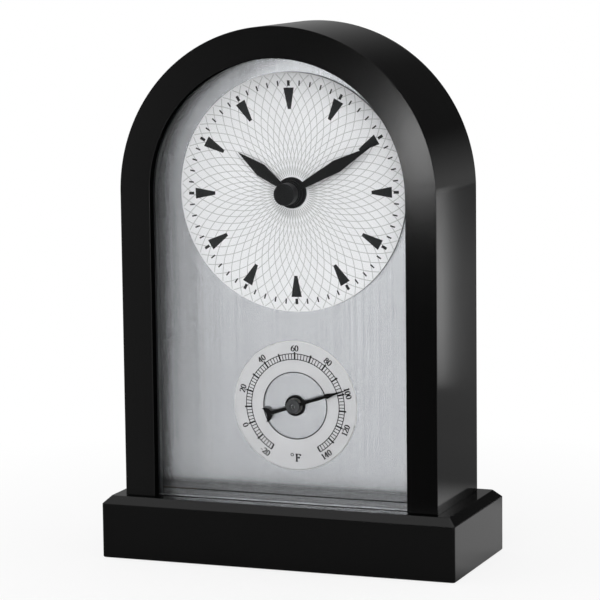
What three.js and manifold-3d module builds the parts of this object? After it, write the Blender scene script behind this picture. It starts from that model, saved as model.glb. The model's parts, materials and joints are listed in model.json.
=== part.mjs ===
// Arched desk clock with a round dial, a thermometer and a two-hand quartz movement.
// Millimetres, +Z up, dial towards -Y. The origin is the middle of the footprint,
// on the surface that the clock stands on.
import * as THREE from "three";
import { mergeVertices } from "three/addons/utils/BufferGeometryUtils.js";
import Module from "manifold-3d";

const wasm = await Module();
wasm.setup();

// Plinth
const PLINTH_WIDTH = 132.2;
const PLINTH_DEPTH = 56.4;
const PLINTH_TOP = 22.6;
const PLINTH_CHAMFER = 2.7;
const FOOT_RADIUS = 5;
const FOOT_THICKNESS = 1.4;
const FOOT_PROUD = 0.4;
const FOOT_INSET = 7;

// Arched case
const CASE_WIDTH = 117.1;
const LEG_HEIGHT = 108.85;
const CASE_DEPTH = 45.5;
const CASE_SETBACK = 2.1;
const FRAME_WIDTH = 11.2;
const LIP_DEPTH = 3.5;
const LIP_WIDTH = 5.25;
const SHOULDER_WIDTH = 1.4;
const EASED_EDGE = 0.8;
const PANEL_RECESS = 1.5;
const PANEL_THICKNESS = 3;
const BATTEN_WIDTH = 6;

// Face
const GLASS_THICKNESS = 2;
const RETAINER_THICKNESS = 2.2;
const PLATE_SETBACK = 18.1;
const PLATE_THICKNESS = 1;
const DIAL_RADIUS = 42.25;
const DIAL_THICKNESS = 1;
const DIAL_DROP = 0.45;
const BUSH_RADIUS = 3.9;
const COLLAR_RADIUS = 5.5;
const COLLAR_THICKNESS = 1;

// Hands, as lengths from the axis and full widths
const HOUR_HAND = { reach: 23.9, waist: 13.4, width: 4.7, rootWidth: 2.1, hub: 4.6, angle: -54.3 };
const MINUTE_HAND = { reach: 35.9, waist: 20.7, width: 4.5, rootWidth: 2.3, hub: 4.2, angle: 61.7 };
const HAND_THICKNESS = 0.5;
const HAND_SPACING = 1.2;
const HAND_CLEARANCE = 0.6;
const CAP_RADIUS = 3.85;
const CAP_HEIGHT = 4.2;
const CAP_EDGE = 0.3;
const CAP_THREAD = 2.8;

// Thermometer
const THERMOMETER_DROP = 0.55;
const SCALE_RADIUS = 23.2;
const SCALE_INNER_RADIUS = 11.8;
const SCALE_THICKNESS = 0.4;
const CUP_RADIUS = 17;
const CUP_DEPTH = 8;
const CUP_WALL = 0.8;
const NECK_RADIUS = 2.6;
const BUSH_NUT_RADIUS = 3.7;
const BUSH_NUT_THICKNESS = 1;
const BIMETAL_THICKNESS = 0.5;
const BIMETAL_WIDTH = 5;
const BIMETAL_TURNS = 4;
const BIMETAL_GAP = 0.3;
const NEEDLE_ARBOR_RADIUS = 0.8;
const ARBOR_COLLAR_RADIUS = 1.9;
const NEEDLE_CLEARANCE = 0.5;
const NEEDLE = {
  shaftWidth: 1, barb: 13.1, barbWidth: 1.9, neck: 2.5, neckWidth: 0.85, reach: 21.8, angle: 71.4,
};
const NEEDLE_HUB_RADIUS = 1.7;
const CRESCENT = { start: 8.74, thickness: 1.92, hollow: 0.73, span: 4.8 };
const NEEDLE_THICKNESS = 0.4;
const NEEDLE_CAP_RADIUS = 2.55;
const NEEDLE_CAP_HEIGHT = 1.1;
const CAP_DIMPLE_RADIUS = 0.5;
const CAP_DIMPLE_DEPTH = 0.25;

// Movement
const MOVEMENT_WALL = 1.5;
const MOVEMENT_CORNER = 4;
const MOVEMENT_SPLIT = 7.8;
const WASHER_RADIUS = 9;
const WASHER_THICKNESS = 0.9;
const WINDOW_MARGIN = 3;
const CELL_RADIUS = 7.1;
const CELL_LENGTH = 49;
const CELL_NUB_RADIUS = 2.7;
const CELL_NUB_LENGTH = 1;
const CELL_CLEARANCE = 0.2;
const CELL_END_ROOM = 1;
const CONTACT_THICKNESS = 0.4;
const CONTACT_WIDTH = 9;
const MINUTE_ARBOR_RADIUS = 1.4;
const HOUR_PIPE_RADIUS = 2.4;
const PIVOT_RADIUS = 0.45;
const SET_ARBOR_RADIUS = 1.2;
const KNOB_RADIUS = 6;
const KNOB_HEIGHT = 4;
const KNOB_FLUTES = 20;
const KNOB_FLUTE_DEPTH = 0.5;
const KNOB_END = 1.5;
const WHEEL_THICKNESS = 0.9;
const LEVEL_STEP = 1.7;
const END_SHAKE = 0.5;
const PIVOT_DEPTH = 1;
const MAGNET_RADIUS = 2.2;
const MAGNET_THICKNESS = 2.5;
const STATOR_THICKNESS = 0.8;
const STATOR_MARGIN = 2;
const STATOR_POST_RADIUS = 1.2;
const COIL_LENGTH = 16;
const COIL_RADIUS = 2.5;
const COIL_FLANGE_RADIUS = 2.8;
const COIL_FLANGE = 1;
const COIL_RISE = 11;
const COIL_MARGIN = 1.8;
const BOARD_THICKNESS = 1;
const CHIP_SIZE = 5;

// Gears: teeth and module of each wheel and pinion, and the bearing of each arbor from the last
const CENTRE_TRAIN = { wheel: 40, pinion: 8, module: 0.35, bearing: 60 };
const ROTOR_TRAIN = { wheel: 48, pinion: 8, module: 0.26, bearing: -10 };
const MINUTE_TRAIN = { wheel: 36, pinion: 12, module: 0.375, bearing: 150 };
const HOUR_TRAIN = { wheel: 48, pinion: 12 };
const SET_BEARING = 200;
const PRESSURE_ANGLE = THREE.MathUtils.degToRad(25);
const ADDENDUM = 0.8;
const DEDENDUM = 1.1;
const BACKLASH = 0.07;

// Fasteners
const SCREW_RADIUS = 1.3;
const SCREW_HEAD_RADIUS = 2.6;
const SCREW_HEAD_HEIGHT = 1.2;
const PANEL_SCREW_LENGTH = 10;
const BASE_SCREW_GRIP = 12;
const BASE_SCREW_BITE = 16;

// Clearances
const SEAT = 0.1;
const RUNNING = 0.08;
const HOLE = 0.15;
const CUT_OVERRUN = 1;

// Facets
const ARCH_STEPS = 32;
const ROUND_STEPS = 24;
const FINE_STEPS = 12;
const DISC_STEPS = 40;
const CORNER_STEPS = 4;
const SPIRAL_STEPS = 16;

// Places worked out from the driving dimensions
const caseRadius = CASE_WIDTH / 2;
const archCentre = PLINTH_TOP + LEG_HEIGHT;
const caseFoot = PLINTH_TOP + SEAT;
const openingRadius = caseRadius - FRAME_WIDTH;
const rabbetRadius = openingRadius + LIP_WIDTH;
const cavityRadius = rabbetRadius + SHOULDER_WIDTH;
const caseFrontY = -PLINTH_DEPTH / 2 + PLINTH_CHAMFER + CASE_SETBACK;
const dialHeight = archCentre - DIAL_DROP;
const thermometerHeight = (PLINTH_TOP + dialHeight - DIAL_RADIUS) / 2 - THERMOMETER_DROP;
const plateFront = PLATE_SETBACK + SEAT;
const plateBack = plateFront + PLATE_THICKNESS;
const dialBack = plateFront - SEAT;
const dialFront = dialBack - DIAL_THICKNESS;
const panelBack = CASE_DEPTH - PANEL_RECESS;
const panelFront = panelBack - PANEL_THICKNESS;
const movementFront = plateBack + WASHER_THICKNESS + 2 * SEAT;
const chamberFront = movementFront + MOVEMENT_WALL;
const cellDepth = chamberFront + CELL_CLEARANCE + CELL_RADIUS;
const movementBack = cellDepth + CELL_RADIUS + CELL_CLEARANCE;
const chamberBack = movementBack - MOVEMENT_WALL;
const chamberHalf = CELL_LENGTH / 2 + CELL_NUB_LENGTH + CELL_END_ROOM;
const movementHalf = chamberHalf + MOVEMENT_WALL;
const collarFront = dialFront - SEAT - COLLAR_THICKNESS;
const hourHandBack = collarFront - HAND_CLEARANCE;
const minuteHandBack = hourHandBack - HAND_THICKNESS - HAND_SPACING;
const capBack = minuteHandBack - HAND_THICKNESS - SEAT;
const capFront = capBack - CAP_HEIGHT;

// The face frame: x to the right, y up, z towards the viewer, and z = 0 on the case's front face,
// so that a place at some depth behind that face has z = -depth.
const clock = new THREE.Group();
const face = new THREE.Group();
face.position.y = caseFrontY;
face.rotation.x = Math.PI / 2;
clock.add(face);
const dial = new THREE.Group();
dial.position.y = dialHeight;
face.add(dial);
const thermometer = new THREE.Group();
thermometer.position.y = thermometerHeight;
face.add(thermometer);

function addPart(parent, name, geometry, colour, roughness, metalness = 0) {
  const material = new THREE.MeshStandardMaterial({ color: colour, roughness, metalness });
  const mesh = new THREE.Mesh(geometry, material);
  mesh.name = name;
  parent.add(mesh);
  return mesh;
}

// Solids for joining and cutting
function toSolid(geometry) {
  const bare = geometry.clone();
  bare.deleteAttribute("normal");
  bare.deleteAttribute("uv");
  const merged = mergeVertices(bare);
  return new wasm.Manifold(new wasm.Mesh({
    numProp: 3,
    vertProperties: new Float32Array(merged.attributes.position.array),
    triVerts: new Uint32Array(merged.index.array),
  }));
}

function toGeometry(solid) {
  const { vertProperties, triVerts } = solid.getMesh();
  const geometry = new THREE.BufferGeometry();
  geometry.setAttribute("position", new THREE.BufferAttribute(vertProperties, 3));
  geometry.setIndex(new THREE.BufferAttribute(triVerts, 1));
  geometry.computeVertexNormals();
  return geometry;
}

function join(pieces, cutters = []) {
  const whole = pieces.map(toSolid).reduce((sum, piece) => sum.add(piece));
  return toGeometry(cutters.map(toSolid).reduce((rest, cutter) => rest.subtract(cutter), whole));
}

// A flat outline between two depths behind the case's front face. Each arc of the outline gets this many
// steps, which is twice the extrusion's own count of curve segments.
function slab(outline, front, back, steps = ROUND_STEPS) {
  const geometry = new THREE.ExtrudeGeometry(outline, {
    depth: back - front,
    bevelEnabled: false,
    curveSegments: steps / 2,
  });
  return geometry.translate(0, 0, -back);
}

// A profile of [radius, depth] points turned about the z axis: back face first, then the outside forwards
function turned(profile, steps = ROUND_STEPS) {
  const points = profile.map(([radius, depth]) => new THREE.Vector2(radius, -depth));
  return new THREE.LatheGeometry(points, steps).rotateX(Math.PI / 2);
}

function rod(radius, front, back, steps = ROUND_STEPS) {
  return turned([[0, back], [radius, back], [radius, front], [0, front]], steps);
}

function ring(inner, outer, front, back, steps = ROUND_STEPS) {
  return turned([[inner, back], [outer, back], [outer, front], [inner, front], [inner, back]], steps);
}

function polygon(points) {
  return new THREE.Shape(points.map(([x, y]) => new THREE.Vector2(x, y)));
}

function rectangle(left, right, bottom, top) {
  return polygon([[left, bottom], [right, bottom], [right, top], [left, top]]);
}

function roundedSquare(half, corner) {
  const shape = new THREE.Shape();
  const straight = half - corner;
  shape.absarc(straight, straight, corner, 0, Math.PI / 2);
  shape.absarc(-straight, straight, corner, Math.PI / 2, Math.PI);
  shape.absarc(-straight, -straight, corner, Math.PI, 1.5 * Math.PI);
  shape.absarc(straight, -straight, corner, 1.5 * Math.PI, 2 * Math.PI);
  return shape;
}

function circleHole(shape, x, y, radius) {
  shape.holes.push(new THREE.Path().absarc(x, y, radius, 0, 2 * Math.PI));
  return shape;
}

// Upright sides under a half circle
function archOutline(radius, foot) {
  const shape = new THREE.Shape();
  shape.moveTo(-radius, foot);
  shape.lineTo(radius, foot);
  shape.absarc(0, archCentre, radius, 0, Math.PI);
  return shape;
}

// The band between two arches, open at the foot
function archBand(outer, inner, foot) {
  const shape = new THREE.Shape();
  shape.moveTo(inner, foot);
  shape.lineTo(outer, foot);
  shape.absarc(0, archCentre, outer, 0, Math.PI);
  shape.lineTo(-outer, foot);
  shape.lineTo(-inner, foot);
  shape.absarc(0, archCentre, inner, Math.PI, 0, true);
  return shape;
}

// Plinth, fixed to the case from below
const legCentre = (caseRadius + cavityRadius) / 2;
const baseScrewDepths = [(LIP_DEPTH + PLATE_SETBACK) / 2, (PLATE_SETBACK + CASE_DEPTH) / 2];
const baseScrewPlaces = [-legCentre, legCentre].flatMap((x) =>
  baseScrewDepths.map((depth) => [x, caseFrontY + depth]));
const screwSeat = PLINTH_TOP - BASE_SCREW_GRIP;
const screwTip = PLINTH_TOP + BASE_SCREW_BITE;

// An upright round bar in the clock's own frame
function post(radius, low, high, x, y, steps = FINE_STEPS) {
  const points = [[0, low], [radius, low], [radius, high], [0, high]];
  const geometry = new THREE.LatheGeometry(points.map(([r, z]) => new THREE.Vector2(r, z)), steps);
  return geometry.rotateX(Math.PI / 2).translate(x, y, 0);
}

function chamferedProfile(width) {
  const half = width / 2;
  const shoulder = PLINTH_TOP - PLINTH_CHAMFER;
  return polygon([
    [-half, FOOT_PROUD], [half, FOOT_PROUD], [half, shoulder],
    [half - PLINTH_CHAMFER, PLINTH_TOP], [PLINTH_CHAMFER - half, PLINTH_TOP], [-half, shoulder],
  ]);
}

function prism(width, length) {
  const outline = chamferedProfile(width);
  const geometry = new THREE.ExtrudeGeometry(outline, { depth: length, bevelEnabled: false });
  return geometry.translate(0, 0, -length / 2).rotateX(Math.PI / 2);
}

const footPlaces = [-1, 1].flatMap((side) => [-1, 1].map((end) =>
  [side * (PLINTH_WIDTH / 2 - FOOT_INSET), end * (PLINTH_DEPTH / 2 - FOOT_INSET)]));

function plinthGeometry() {
  const across = toSolid(prism(PLINTH_WIDTH, PLINTH_DEPTH + 2 * CUT_OVERRUN));
  const along = toSolid(prism(PLINTH_DEPTH, PLINTH_WIDTH + 2 * CUT_OVERRUN).rotateZ(Math.PI / 2));
  const pockets = footPlaces.map(([x, y]) =>
    post(FOOT_RADIUS + HOLE, FOOT_PROUD - CUT_OVERRUN, FOOT_THICKNESS + SEAT, x, y));
  const bores = baseScrewPlaces.flatMap(([x, y]) => [
    post(SCREW_HEAD_RADIUS + HOLE, FOOT_PROUD - CUT_OVERRUN, screwSeat, x, y),
    post(SCREW_RADIUS + HOLE, screwSeat - CUT_OVERRUN, PLINTH_TOP + CUT_OVERRUN, x, y),
  ]);
  return toGeometry([...pockets, ...bores].map(toSolid)
    .reduce((rest, cutter) => rest.subtract(cutter), across.intersect(along)));
}

addPart(clock, "base_plinth", plinthGeometry(), 0x1a1a1b, 0.4);
footPlaces.forEach(([x, y], i) => {
  addPart(clock, `foot_pad_${i + 1}`, post(FOOT_RADIUS, 0, FOOT_THICKNESS, x, y), 0x202020, 0.9);
});
baseScrewPlaces.forEach(([x, y], i) => {
  const head = screwSeat - SEAT;
  const screw = join([
    post(SCREW_HEAD_RADIUS, head - SCREW_HEAD_HEIGHT, head, x, y),
    post(SCREW_RADIUS, head - SCREW_HEAD_HEIGHT / 2, screwTip, x, y),
  ]);
  addPart(clock, `base_screw_${i + 1}`, screw, 0x9a9a98, 0.4, 1);
});

// Arched case: an eased outer arch, routed from the back in three steps
function caseGeometry() {
  const outer = new THREE.ExtrudeGeometry(archOutline(caseRadius, caseFoot - PLINTH_TOP / 2), {
    depth: CASE_DEPTH - 2 * EASED_EDGE,
    bevelThickness: EASED_EDGE,
    bevelSize: EASED_EDGE,
    bevelOffset: -EASED_EDGE,
    bevelSegments: 1,
    curveSegments: ARCH_STEPS / 2,
  }).translate(0, 0, EASED_EDGE - CASE_DEPTH);
  const below = caseFoot - PLINTH_TOP;
  const back = CASE_DEPTH + CUT_OVERRUN;
  const cutters = [
    slab(archOutline(openingRadius, below), -CUT_OVERRUN, back, ARCH_STEPS),
    slab(archOutline(rabbetRadius, below), LIP_DEPTH, back, ARCH_STEPS),
    slab(archOutline(cavityRadius, below), PLATE_SETBACK, back, ARCH_STEPS),
    slab(rectangle(-CASE_WIDTH, CASE_WIDTH, below - PLINTH_TOP, caseFoot), -CUT_OVERRUN, back),
    ...baseScrewPlaces.map(([x, y]) =>
      post(SCREW_RADIUS + HOLE, PLINTH_TOP - CUT_OVERRUN, screwTip + SEAT, x, 0)
        .rotateX(-Math.PI / 2)
        .translate(0, 0, caseFrontY - y)),
  ];
  return join([outer], cutters);
}

addPart(face, "arch_case", caseGeometry(), 0x1a1a1b, 0.4);

const glassFront = LIP_DEPTH + SEAT;
const retainerFront = glassFront + GLASS_THICKNESS + SEAT;
const retainerBack = retainerFront + RETAINER_THICKNESS;
addPart(face, "glass_pane", slab(archOutline(rabbetRadius - SEAT, caseFoot + SEAT), glassFront,
  glassFront + GLASS_THICKNESS, ARCH_STEPS), 0xffffff, 0.02);
addPart(face, "glass_retainer", slab(archBand(rabbetRadius - SEAT, openingRadius, caseFoot + SEAT),
  retainerFront, retainerBack, ARCH_STEPS), 0x3a3a3a, 0.6);

// Backing frame and back panel, with the screws that hold them together
const battenOuter = cavityRadius - 2 * SEAT;
const battenCentre = battenOuter - BATTEN_WIDTH / 2;
const battenFront = plateBack + SEAT;
const battenBack = panelFront - SEAT;
const legSpan = archCentre - caseFoot;
const panelScrewPlaces = [-1, 1].flatMap((side) => [
  [side * battenCentre, caseFoot + legSpan / 6],
  [side * battenCentre, caseFoot + (2 * legSpan) / 3],
  [side * battenCentre * Math.SQRT1_2, archCentre + battenCentre * Math.SQRT1_2],
]);

function screwHoles(front, back) {
  return panelScrewPlaces.map(([x, y]) =>
    rod(SCREW_RADIUS + HOLE, front, back, FINE_STEPS).translate(x, y, 0));
}

const panelScrewTip = panelFront - PANEL_SCREW_LENGTH + PANEL_THICKNESS;
const batten = archBand(battenOuter, battenOuter - BATTEN_WIDTH, caseFoot + SEAT);
addPart(face, "backing_frame", join([slab(batten, battenFront, battenBack, ARCH_STEPS)],
  screwHoles(panelScrewTip - SEAT, battenBack + CUT_OVERRUN)), 0x4a3b2c, 0.8);

const windowHalf = movementHalf + WINDOW_MARGIN;
const windowCutter = slab(roundedSquare(windowHalf, MOVEMENT_CORNER), panelFront - CUT_OVERRUN,
  panelBack + CUT_OVERRUN, CORNER_STEPS).translate(0, dialHeight, 0);
addPart(face, "back_panel", join(
  [slab(archOutline(battenOuter, caseFoot + SEAT), panelFront, panelBack, ARCH_STEPS)],
  [windowCutter, ...screwHoles(panelFront - CUT_OVERRUN, panelBack + CUT_OVERRUN)]), 0x1c1c1c, 0.7);
panelScrewPlaces.forEach(([x, y], i) => {
  const head = panelBack + SEAT;
  const screw = turned([
    [0, head + SCREW_HEAD_HEIGHT], [SCREW_HEAD_RADIUS / 2, head + SCREW_HEAD_HEIGHT],
    [SCREW_HEAD_RADIUS, head + SCREW_HEAD_HEIGHT / 3], [SCREW_HEAD_RADIUS, head],
    [SCREW_RADIUS, head], [SCREW_RADIUS, panelScrewTip], [0, panelScrewTip],
  ], FINE_STEPS).translate(x, y, 0);
  addPart(face, `panel_screw_${i + 1}`, screw, 0x9a9a98, 0.4, 1);
});

// Plate, dial, collar and scale
const bushHole = BUSH_RADIUS + HOLE;
const plate = archOutline(battenOuter, caseFoot + SEAT);
circleHole(plate, 0, dialHeight, bushHole);
circleHole(plate, 0, thermometerHeight, NECK_RADIUS + HOLE);
addPart(face, "dial_plate", slab(plate, plateFront, plateBack, ARCH_STEPS), 0xbfc0c2, 0.35, 1);
addPart(dial, "dial_disc", ring(bushHole, DIAL_RADIUS, dialFront, dialBack, DISC_STEPS), 0xe6e7e8, 0.4);
addPart(dial, "collar_nut", ring(bushHole, COLLAR_RADIUS, collarFront, collarFront + COLLAR_THICKNESS),
  0x232526, 0.45, 1);
const washerFront = plateBack + SEAT;
addPart(dial, "rubber_washer", ring(bushHole, WASHER_RADIUS, washerFront, washerFront + WASHER_THICKNESS),
  0x1c1c1c, 0.9);
addPart(thermometer, "thermometer_scale", ring(SCALE_INNER_RADIUS, SCALE_RADIUS, dialBack - SCALE_THICKNESS,
  dialBack, DISC_STEPS), 0xb9babc, 0.5);

// Involute spur gears
function involute(angle) {
  return Math.tan(angle) - angle;
}

// Outline of a gear with a tooth centred on the angle phase: each flank runs root, base, tip
function gearOutline(teeth, module, phase, bore = 0) {
  const pitch = (teeth * module) / 2;
  const base = pitch * Math.cos(PRESSURE_ANGLE);
  const root = pitch - DEDENDUM * module;
  const tip = pitch + ADDENDUM * module;
  const half = Math.PI / (2 * teeth) - BACKLASH / (4 * pitch);
  const flank = base > root ? [root, base, tip] : [root, tip];
  const rolled = (radius) => involute(Math.acos(Math.min(1, base / radius)));
  const spread = (radius) => half + involute(PRESSURE_ANGLE) - rolled(radius);
  const points = [];
  for (let tooth = 0; tooth < teeth; tooth += 1) {
    const middle = phase + (2 * Math.PI * tooth) / teeth;
    const rising = flank.map((radius) => [radius, middle - spread(radius)]);
    const falling = flank.map((radius) => [radius, middle + spread(radius)]).reverse();
    points.push(...[...rising, ...falling].map(([radius, angle]) =>
      [radius * Math.cos(angle), radius * Math.sin(angle)]));
  }
  const shape = polygon(points);
  return bore > 0 ? circleHole(shape, 0, 0, bore) : shape;
}

// Phase of a gear in mesh with another that lies on a line of centres at the given angle
function meshPhase(phase, teeth, otherTeeth, line) {
  const offset = ((line - phase) * teeth) / (2 * Math.PI);
  return line + Math.PI - ((0.5 - offset) * 2 * Math.PI) / otherTeeth;
}

function spacing(train) {
  return (train.module * (train.wheel + train.pinion)) / 2;
}

function arborAt(from, bearing, distance) {
  const line = THREE.MathUtils.degToRad(bearing);
  return { x: from.x + distance * Math.cos(line), y: from.y + distance * Math.sin(line), line };
}

const centreArbor = { x: 0, y: 0 };
const thirdArbor = arborAt(centreArbor, CENTRE_TRAIN.bearing, spacing(CENTRE_TRAIN));
const rotorArbor = arborAt(thirdArbor, ROTOR_TRAIN.bearing, spacing(ROTOR_TRAIN));
const minuteWheelArbor = arborAt(centreArbor, MINUTE_TRAIN.bearing, spacing(MINUTE_TRAIN));
const setArbor = arborAt(minuteWheelArbor, SET_BEARING, spacing(MINUTE_TRAIN));

// The hour wheel and its pinion share the minute wheel's centre distance
const hourModule = (2 * spacing(MINUTE_TRAIN)) / (HOUR_TRAIN.wheel + HOUR_TRAIN.pinion);

// Depths of the four wheel levels, front to back, each the front of a wheel
const hourLevel = chamberFront + END_SHAKE;
const minuteLevel = hourLevel + LEVEL_STEP;
const centreLevel = minuteLevel + LEVEL_STEP;
const thirdLevel = centreLevel + LEVEL_STEP;
const rotorLevel = thirdLevel + LEVEL_STEP;
const pinionMargin = (LEVEL_STEP - WHEEL_THICKNESS) / 4;
const pivotFront = chamberFront - PIVOT_DEPTH + SEAT;
const pivotBack = chamberBack + PIVOT_DEPTH - SEAT;

function pivotHole(place, radius, front, back) {
  return rod(radius + RUNNING, front, back, FINE_STEPS).translate(place.x, place.y, 0);
}

// Gear that reaches a pinion's margin past the wheel it drives, and on to the wheel it carries
function pinionSlab(teeth, module, phase, front, back, bore = 0) {
  const outline = gearOutline(teeth, module, phase, bore);
  return slab(outline, front - pinionMargin, back + pinionMargin, FINE_STEPS);
}

function wheelSlab(teeth, module, phase, level, bore = 0) {
  return slab(gearOutline(teeth, module, phase, bore), level, level + WHEEL_THICKNESS, FINE_STEPS);
}

function addWheel(name, place, pieces, colour, metalness = 0) {
  const mesh = addPart(dial, name, pieces, colour, 0.4, metalness);
  mesh.position.set(place.x, place.y, 0);
  return mesh;
}

const arborBore = MINUTE_ARBOR_RADIUS + SEAT;
addWheel("centre_wheel", centreArbor, join([
  wheelSlab(CENTRE_TRAIN.wheel, CENTRE_TRAIN.module, 0, centreLevel, arborBore),
  slab(gearOutline(MINUTE_TRAIN.pinion, MINUTE_TRAIN.module, 0, arborBore), minuteLevel - pinionMargin,
    centreLevel + WHEEL_THICKNESS / 2, FINE_STEPS),
]), 0xe8e4d8);

const thirdPinionPhase = meshPhase(0, CENTRE_TRAIN.wheel, CENTRE_TRAIN.pinion, thirdArbor.line);
addWheel("third_wheel", thirdArbor, join([
  pinionSlab(CENTRE_TRAIN.pinion, CENTRE_TRAIN.module, thirdPinionPhase, centreLevel, thirdLevel),
  wheelSlab(ROTOR_TRAIN.wheel, ROTOR_TRAIN.module, 0, thirdLevel),
  rod(PIVOT_RADIUS, pivotFront, pivotBack, FINE_STEPS),
]), 0xe8e4d8);

const rotorPhase = meshPhase(0, ROTOR_TRAIN.wheel, ROTOR_TRAIN.pinion, rotorArbor.line);
addWheel("rotor", rotorArbor, join([
  pinionSlab(ROTOR_TRAIN.pinion, ROTOR_TRAIN.module, rotorPhase, thirdLevel, rotorLevel),
  rod(MAGNET_RADIUS, rotorLevel, rotorLevel + MAGNET_THICKNESS),
  rod(PIVOT_RADIUS, pivotFront, pivotBack, FINE_STEPS),
]), 0x55585c, 1);

const minutePhase = meshPhase(0, MINUTE_TRAIN.pinion, MINUTE_TRAIN.wheel, minuteWheelArbor.line);
addWheel("minute_wheel", minuteWheelArbor, join([
  wheelSlab(MINUTE_TRAIN.wheel, MINUTE_TRAIN.module, minutePhase, minuteLevel),
  pinionSlab(HOUR_TRAIN.pinion, hourModule, 0, hourLevel, minuteLevel),
  rod(PIVOT_RADIUS, pivotFront, pivotBack, FINE_STEPS),
]), 0xe8e4d8);

const hourPhase = meshPhase(0, HOUR_TRAIN.pinion, HOUR_TRAIN.wheel, minuteWheelArbor.line + Math.PI);
const hourBore = MINUTE_ARBOR_RADIUS + RUNNING;
const hourPipeFront = hourHandBack - HAND_THICKNESS - SEAT;
addWheel("hour_wheel", centreArbor, join([
  wheelSlab(HOUR_TRAIN.wheel, hourModule, hourPhase, hourLevel, hourBore),
  ring(hourBore, HOUR_PIPE_RADIUS, hourPipeFront, hourLevel + WHEEL_THICKNESS / 2, FINE_STEPS),
]), 0xe8e4d8);

const setPhase = meshPhase(minutePhase, MINUTE_TRAIN.wheel, MINUTE_TRAIN.pinion, setArbor.line);
const knobFront = movementBack + HOLE;
const knobBack = knobFront + KNOB_HEIGHT;
const setArborBack = knobBack - KNOB_END;
const minuteLevelBack = minuteLevel + WHEEL_THICKNESS;
addWheel("set_arbor", setArbor, join([
  pinionSlab(MINUTE_TRAIN.pinion, MINUTE_TRAIN.module, setPhase, minuteLevel, minuteLevelBack),
  rod(SET_ARBOR_RADIUS, pivotFront, setArborBack, FINE_STEPS),
]), 0x2b2b2b);

function flutedOutline(radius, flutes, depth) {
  const points = Array.from({ length: 4 * flutes }, (unused, i) => {
    const reach = i % 4 < 2 ? radius : radius - depth;
    const angle = (Math.PI * i) / (2 * flutes);
    return [reach * Math.cos(angle), reach * Math.sin(angle)];
  });
  return polygon(points);
}

addWheel("set_knob", setArbor, join(
  [slab(flutedOutline(KNOB_RADIUS, KNOB_FLUTES, KNOB_FLUTE_DEPTH), knobFront, knobBack)],
  [rod(SET_ARBOR_RADIUS + SEAT, knobFront - CUT_OVERRUN, setArborBack + SEAT, FINE_STEPS)]), 0x2b2b2b);

const arborFront = capBack - CAP_THREAD;
addWheel("minute_arbor", centreArbor, rod(MINUTE_ARBOR_RADIUS, arborFront, pivotBack), 0xa8a8a6, 1);

// Hands: straight-sided leaves that widen to a waist and run to a point, on a round hub
function leafOutline(hand) {
  const side = (sign) => [
    [(sign * hand.rootWidth) / 2, 0],
    [(sign * hand.width) / 2, hand.waist],
  ];
  return polygon([...side(1), [0, hand.reach], ...side(-1).reverse()]);
}

function handGeometry(hand, bore, back) {
  const front = back - HAND_THICKNESS;
  return join([slab(leafOutline(hand), front, back), rod(hand.hub, front, back)],
    [rod(bore, front - CUT_OVERRUN, back + CUT_OVERRUN)]);
}

function addHand(name, geometry, angle, parent = dial) {
  const mesh = addPart(parent, name, geometry, 0x1f2122, 0.45, 1);
  mesh.rotation.z = -THREE.MathUtils.degToRad(angle);
  return mesh;
}

addHand("hour_hand", handGeometry(HOUR_HAND, HOUR_PIPE_RADIUS + SEAT, hourHandBack), HOUR_HAND.angle);
addHand("minute_hand", handGeometry(MINUTE_HAND, arborBore, minuteHandBack), MINUTE_HAND.angle);
addPart(dial, "hand_cap", turned([
  [arborBore, capBack], [CAP_RADIUS, capBack], [CAP_RADIUS, capFront + CAP_EDGE],
  [CAP_RADIUS - CAP_EDGE, capFront], [0, capFront], [0, arborFront - SEAT],
  [arborBore, arborFront - SEAT], [arborBore, capBack],
]), 0x2a2d2e, 0.4, 1);

// Movement housing in two halves, split across the depth
const splitDepth = movementFront + MOVEMENT_SPLIT;
const bushFront = collarFront + SEAT;
const housingCorner = (half) => roundedSquare(half, MOVEMENT_CORNER - (movementHalf - half));
const trainArbors = [thirdArbor, rotorArbor, minuteWheelArbor];
const insideFront = chamberFront + CUT_OVERRUN;
const insideBack = chamberBack - CUT_OVERRUN;

addPart(dial, "movement_front", join([
  slab(housingCorner(movementHalf), movementFront, splitDepth, CORNER_STEPS),
  rod(BUSH_RADIUS, bushFront, chamberFront),
], [
  slab(housingCorner(chamberHalf), chamberFront, splitDepth + CUT_OVERRUN, CORNER_STEPS),
  rod(HOUR_PIPE_RADIUS + RUNNING, bushFront - CUT_OVERRUN, insideFront),
  ...trainArbors.map((place) => pivotHole(place, PIVOT_RADIUS, pivotFront - SEAT, insideFront)),
  pivotHole(setArbor, SET_ARBOR_RADIUS, pivotFront - SEAT, insideFront),
]), 0x2b2b2b, 0.6);

const cellY = CELL_RADIUS + CELL_CLEARANCE - chamberHalf;
const trayTop = cellY + CELL_RADIUS + CELL_CLEARANCE;
const dividerTop = trayTop + MOVEMENT_WALL;
const statorFront = rotorLevel + MAGNET_THICKNESS / 4;
const statorBack = statorFront + STATOR_THICKNESS;
const coilPlace = { x: chamberHalf - COIL_MARGIN - COIL_LENGTH / 2, y: rotorArbor.y + COIL_RISE };
const statorPosts = [rotorArbor.y, coilPlace.y].map((y) => ({ x: coilPlace.x + COIL_LENGTH / 3, y }));

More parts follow.
